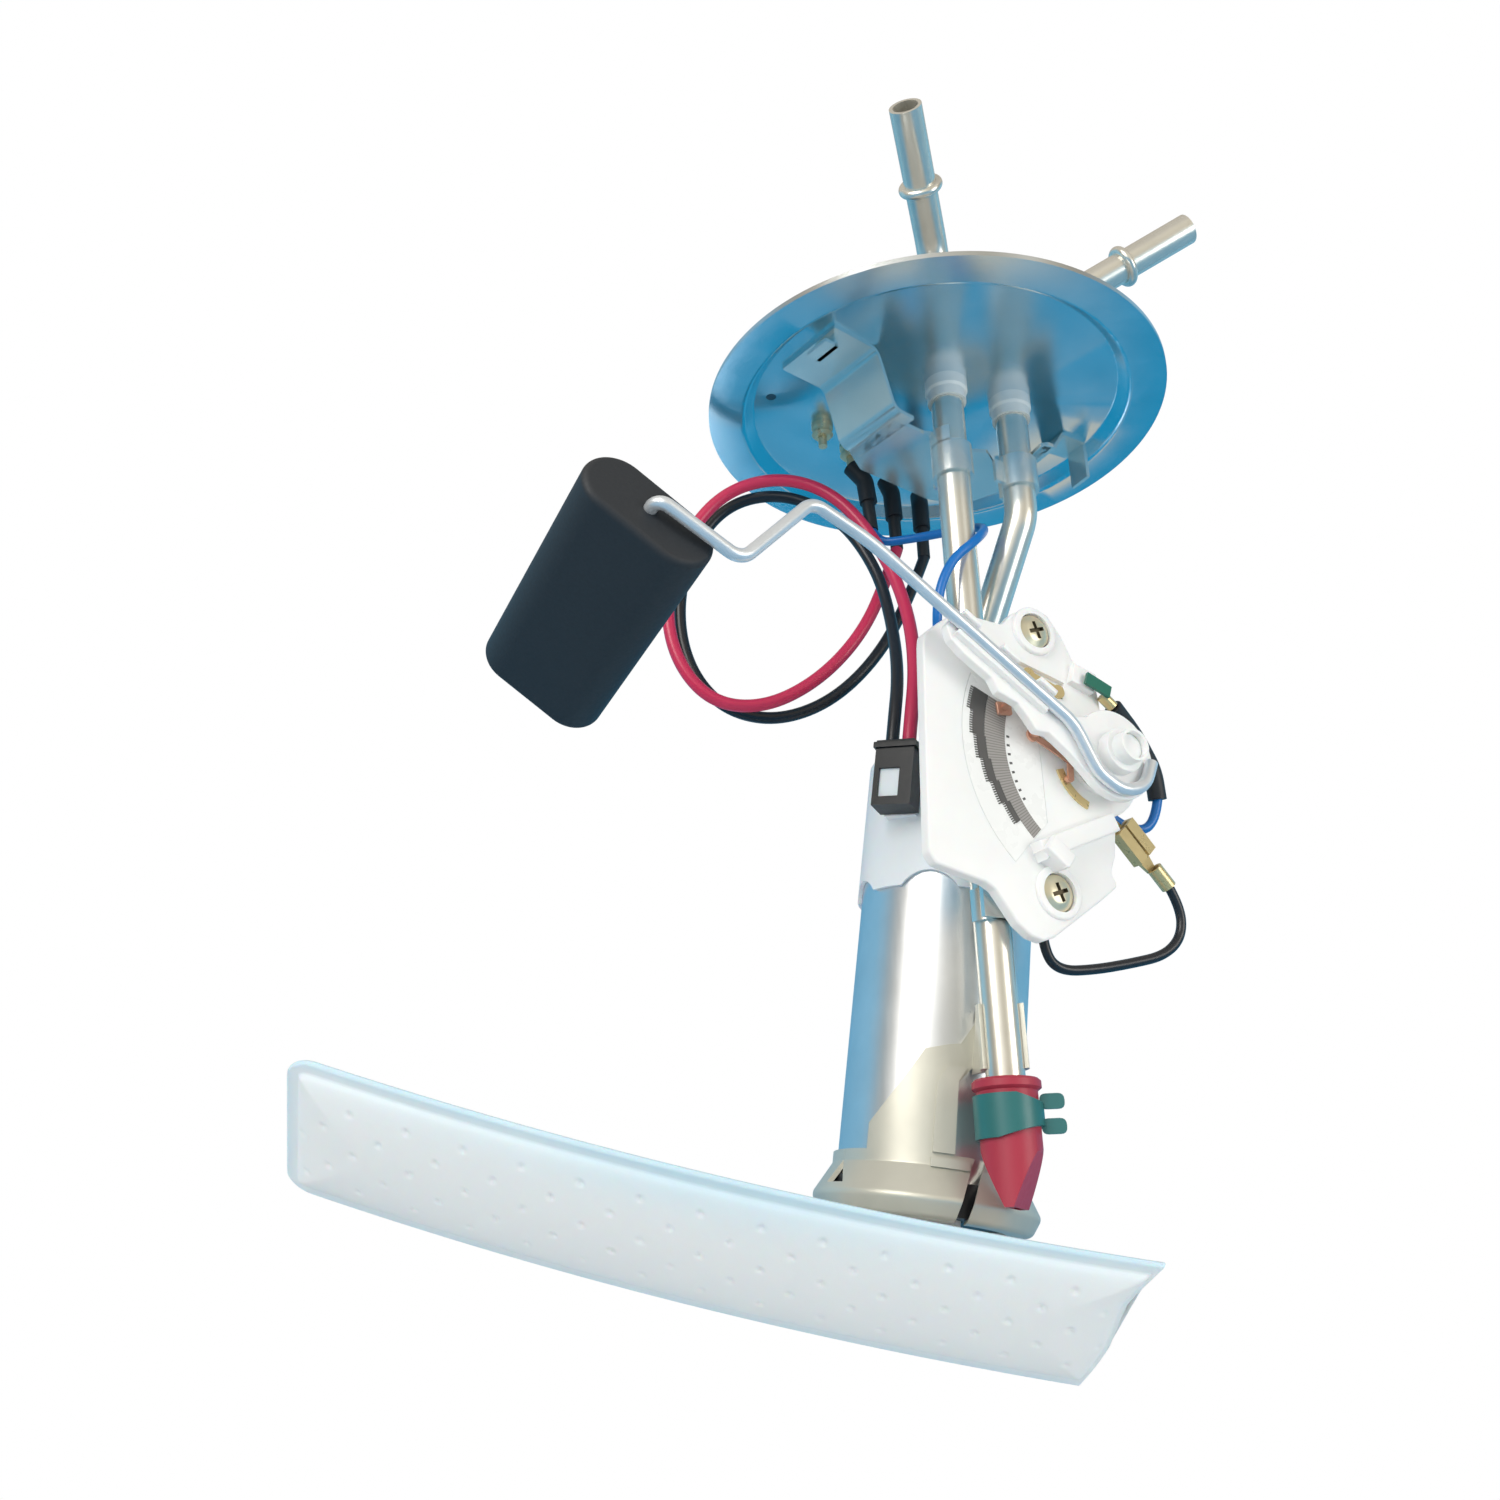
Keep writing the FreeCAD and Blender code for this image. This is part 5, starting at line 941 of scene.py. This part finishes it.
def drawBracket(cup):
    # cup under the pump with its seam, plate and lap up the front, web and saddle on the tube
    t, hug = cup["thick"], cup["hug"]
    line = [(hug + t / 2, cup["top"]), (hug + t / 2, cup["top"] - 2.4), (cup["bulge"], 1.2),
            (cup["bulge"] - 1.6, cup["floor"]), (cup["lip"], cup["floor"])]
    seam, wide, low, top = cup["seam"], cup["seamW"], cup["floor"], cup["top"]
    slit = turned(plate([(seam, low - 2), (seam + wide, low - 2), (seam + 4.2 + wide, top + 1),
                         (seam + 4.2, top + 1)], 0, 40), upright)
    shell = carve([lathe(stripOutline(line, t, 1.3))],
                  [slit, block(*cup["notch"], top + 1)])
    x0, x1, z0, z1 = -1.8, seam + 3.0, top - 2.6, top - 0.8
    tab = [(x0, z0), (x1, z0), (x1, z1), (x0, z1)]
    parts = [shell, hugging(cup["plate"], hug, hug + t), hugging(cup["lap"], hug + t - 0.05, hug + 2 * t),
             hugging(tab, hug + t - 0.05, hug + 2 * t)]
    parts = [turned(part, pumpRow) for part in parts]
    (x, y), (z0, z1), r = cup["tube"], cup["saddle"], cup["tubeR"]
    half = arcPoints((x, y), r + t, -20, 200, 5) + arcPoints((x, y), r, 200, -20, 5)
    parts.append(turned(plate(half, z0, z1), rowMm))
    edges = []
    for z in (z0, z1):
        up = (z + 190) / math.cos(math.radians(pumpLean))
        edge = pumpRow @ Vector((cup["fold"], -math.sqrt((hug + t / 2) ** 2 - cup["fold"] ** 2), up)) * 1000
        near, far = Vector((x - (r + t / 2) * 0.80, y + (r + t / 2) * 0.60, 0)), Vector((*edge.xy, 0))
        side = Vector((edge.y - near.y, near.x - edge.x, 0)).normalized() * t / 2
        edges += [(q.x, q.y, z) for q in (near + side, far + side, far - side, near - side)]
    web = bpy.data.meshes.new("drawn")
    web.from_pydata(edges, [], [(0, 1, 2, 3), (7, 6, 5, 4), (0, 4, 5, 1), (1, 5, 6, 2), (2, 6, 7, 3),
                                (3, 7, 4, 0)])
    parts.append(turned(web, rowMm))
    return joined(parts)


strap = {
    "thick": 1.0, "foot": 2.5, "bridge": -12.5, "start": (-32.6, -24.8), "turn": 38.5, "footLen": 13.4,
    "legRun": 5.0, "wide": 19.0, "bend": 3.0, "deck": [(-12.3, -16.9), (-4.6, -11.2), (-2.1, -10.6),
    (-1.5, -6.4), (3.2, -3.9), (12.0, -3.0), (15.2, 3.2), (21.6, 2.6), (25.0, -5.6), (28.4, -4.4),
    (24.4, 3.8), (21.6, 12.2), (9.0, 20.5), (-0.5, 17.5), (-19.0, 3.3), (-22.2, -4.2)],
    "rightStart": (26.2, -0.9), "rightTurn": 28.0, "rightRun": 13.9, "rightLen": 22.2,
    "rightPlan": [(21.5, 2.2), (25.9, -6.0), (28.4, -4.6), (35.5, 11.3), (42.6, 15.5), (38.9, 22.4),
    (31.7, 18.7), (24.2, 3.6)], "bands": (((2.0, -9.4), -16.4, 60, 150), ((19.1, -1.7), -15.4, 150,
    60)), "bandTall": 8.5, "tubeR": 4.0}


def drawStrap(strap):
    # folded sheet: hooked foot, slanted leg, deck, right leg with its tab, and a band for each tube
    t, foot, bridge = strap["thick"], strap["foot"], strap["bridge"]

    def placed(mesh, start, turn):
        return turned(mesh, Matrix.Translation((*start, 0)) @ rotation(turn, "Z"))

    def leg(line, wide, bend):
        return turned(plate(stripOutline(line, t, bend), -wide / 2, wide / 2), upright)

    end, wide = strap["footLen"] + strap["legRun"], strap["wide"]
    left = leg([(0, foot), (strap["footLen"], foot), (end, bridge), (end + 6, bridge)], wide,
               strap["bend"])
    hook = [block(x, 2.2, 1.5 - wide / 2, 8 - wide / 2, foot - 4.2, top)
            for x, top in ((1.2, foot), (-1.6, foot - 3.2))]
    parts = [placed(mesh, strap["start"], strap["turn"]) for mesh in [left] + hook]
    right = leg([(-4, bridge), (0.5, bridge), (strap["rightRun"], foot), (strap["rightLen"], foot)],
                40.0, strap["bend"] * 0.7)
    right = placed(right, strap["rightStart"], strap["rightTurn"])
    parts.append(carve([right], within=[plate(roundOff(strap["rightPlan"], 1.5), bridge - 5, foot + 2)]))
    tab = block(strap["rightLen"] - t, strap["rightLen"], 7.4, 13.4, foot - 10.5, foot)
    parts.append(placed(tab, strap["rightStart"], strap["rightTurn"]))
    holes = [drum(strap["tubeR"], bridge - 30, foot, *xy) for xy, _, _, _ in strap["bands"]]
    deck = plate(roundOff(strap["deck"], 1.2), bridge - t / 2, bridge + t / 2)
    parts.append(carve([deck], holes))
    for xy, top, gap, stem in strap["bands"]:
        r = strap["tubeR"]
        for a0, a1, low, high in ((gap + 55, gap + 360, top - strap["bandTall"], top),
                                  (stem, stem + 110, top - 0.5, bridge)):
            ring = arcPoints(xy, r + t, a0, a1, 5) + arcPoints(xy, r, a1, a0, 5)
            parts.append(plate(ring, low, high))
        lug = block(r + 0.3, r + 3.2, -t / 2, t / 2, top - strap["bandTall"] + 1.2, top - 1.2, 0.2)
        parts.append(placed(lug, xy, gap + 60))
    return joined(parts)


# a dark disc set into the small hole in the flange: painted shade in the hole
gauge = {"at": (-41.2, -5.4), "r": 1.3, "low": 3.2, "high": 3.6}


def addPiece(name, mesh, row, node, finish):
    # a small extra body on the body of a node, which it doesn't replace
    mesh.materials.append(finishes[finish])
    stand(bpy.data.objects.new(name, turned(mesh, row)), node, slotOf[node], instead=False)


addPiece("gaugeHoleShade", drum(gauge["r"], gauge["low"], gauge["high"], *gauge["at"]), rowMm, "flange_plate",
         "darkIron")

clamp = {"r": 6.14, "t": 0.8, "top": -169.8, "low": -178.2, "turn": -12.0, "ear": 3.4}


def drawClamp(clamp):
    # spring band, cut askew, with two short ears
    r, t, top, low = clamp["r"], clamp["t"], clamp["top"], clamp["low"]
    side = [(-9, low), (-2, low), (9, low + 3.0), (9, top - 2.4), (2, top), (-9, top)]
    ring = carve([drum(r + t, low - 1, top + 1, 0, 0)], [drum(r, low - 2, top + 2, 0, 0)],
                 [turned(plate(side, -9, 9), upright)])
    parts = [ring]
    for z in (top - 1.3, low + 2.3):
        tip = r + clamp["ear"] + 1.5
        ear = roundOff([(r, z - 1.5), (tip, z - 1.5), (tip, z + 1.5), (r, z + 1.5)], 1.3)
        parts.append(turned(plate(ear, -t / 2, t / 2), upright))
    return joined(parts)


drawn["valve_clamp"] = (drawClamp(clamp), tubeAt @ rotation(clamp["turn"], "Z") @ rowMm, "tealCoat")
drawn["pump_plug"] = (drawPlug(plug), plugRow, "blackPlastic")
drawn["lower_bracket"] = (drawBracket(cup), Matrix(), "bracketSteel")
drawn["tube_strap"] = (drawStrap(strap), rowMm, "sheetSteel")
print("plug, bracket and strap are drawn")


def islands(work):
    # the corners and the faces of each solid of a node
    left = set(work.verts)
    while left:
        group, edge = set(), [left.pop()]
        while edge:
            vert = edge.pop()
            group.add(vert)
            for link in vert.link_edges:
                other = link.other_vert(vert)
                if other in left:
                    left.discard(other)
                    edge.append(other)
        yield group, {face for v in group for face in v.link_faces}


def paintComb(obj, dial):
    # the comb is the solid that reaches furthest from the pivot; it takes the dark ink
    turn = math.radians(dial["turn"])
    with Editing(obj.data) as work:
        for group, faces in islands(work):
            far = max(math.hypot(v.co.x * math.cos(turn) - v.co.y * math.sin(turn) + dial["pivot"][0],
                                 v.co.z + dial["pivot"][2]) for v in group)
            for face in faces:
                face.material_index = int(far > dial["combReach"])
    obj.data.materials.append(finishes["combInk"])


recess = {"front": (0.4695, -0.8829, 0.0), "depth": 0.00025, "head": 0.002, "reach": 0.0024}


def paintRecess(obj, recess):
    # floor and walls of each screw's cross recess take the shade
    front, head = Vector(recess["front"]), recess["head"]
    with Editing(obj.data) as work:
        for group, faces in islands(work):
            axis = sum((v.co for v in group), Vector()) / len(group)
            top = max(v.co.dot(front) for v in group)
            for face in faces:
                middle = face.calc_center_median()
                off = middle - axis
                aside = (off - front * off.dot(front)).length
                deep = top - middle.dot(front)
                outward = abs(face.normal.dot(off)) > 0.9 * off.length and deep > head
                face.material_index = int(recess["depth"] < deep < head and aside < recess["reach"]
                                          and not outward)
    obj.data.materials.append(finishes["slotShade"])


dressed = {node: smoothPiece(node, finish) for node, finish in hardPieces.items()}
dressed.update({node: setPiece(node, *piece) for node, piece in drawn.items()})
addPiece("capCatch", plugCatch(plug), plugRow, "pump_isolator_cap", "capPlastic")
valveTurn = -92.0        # the valve's flat lips stand askew to the front
dressed["duckbill_valve"].data.transform(tubeAt @ rotation(valveTurn, "Z") @ tubeAt.inverted())
paintComb(dressed["resistor_tracks"], dial)
paintRecess(dressed["sender_screws"], recess)
print("hard pieces are dressed:", len(dressed))
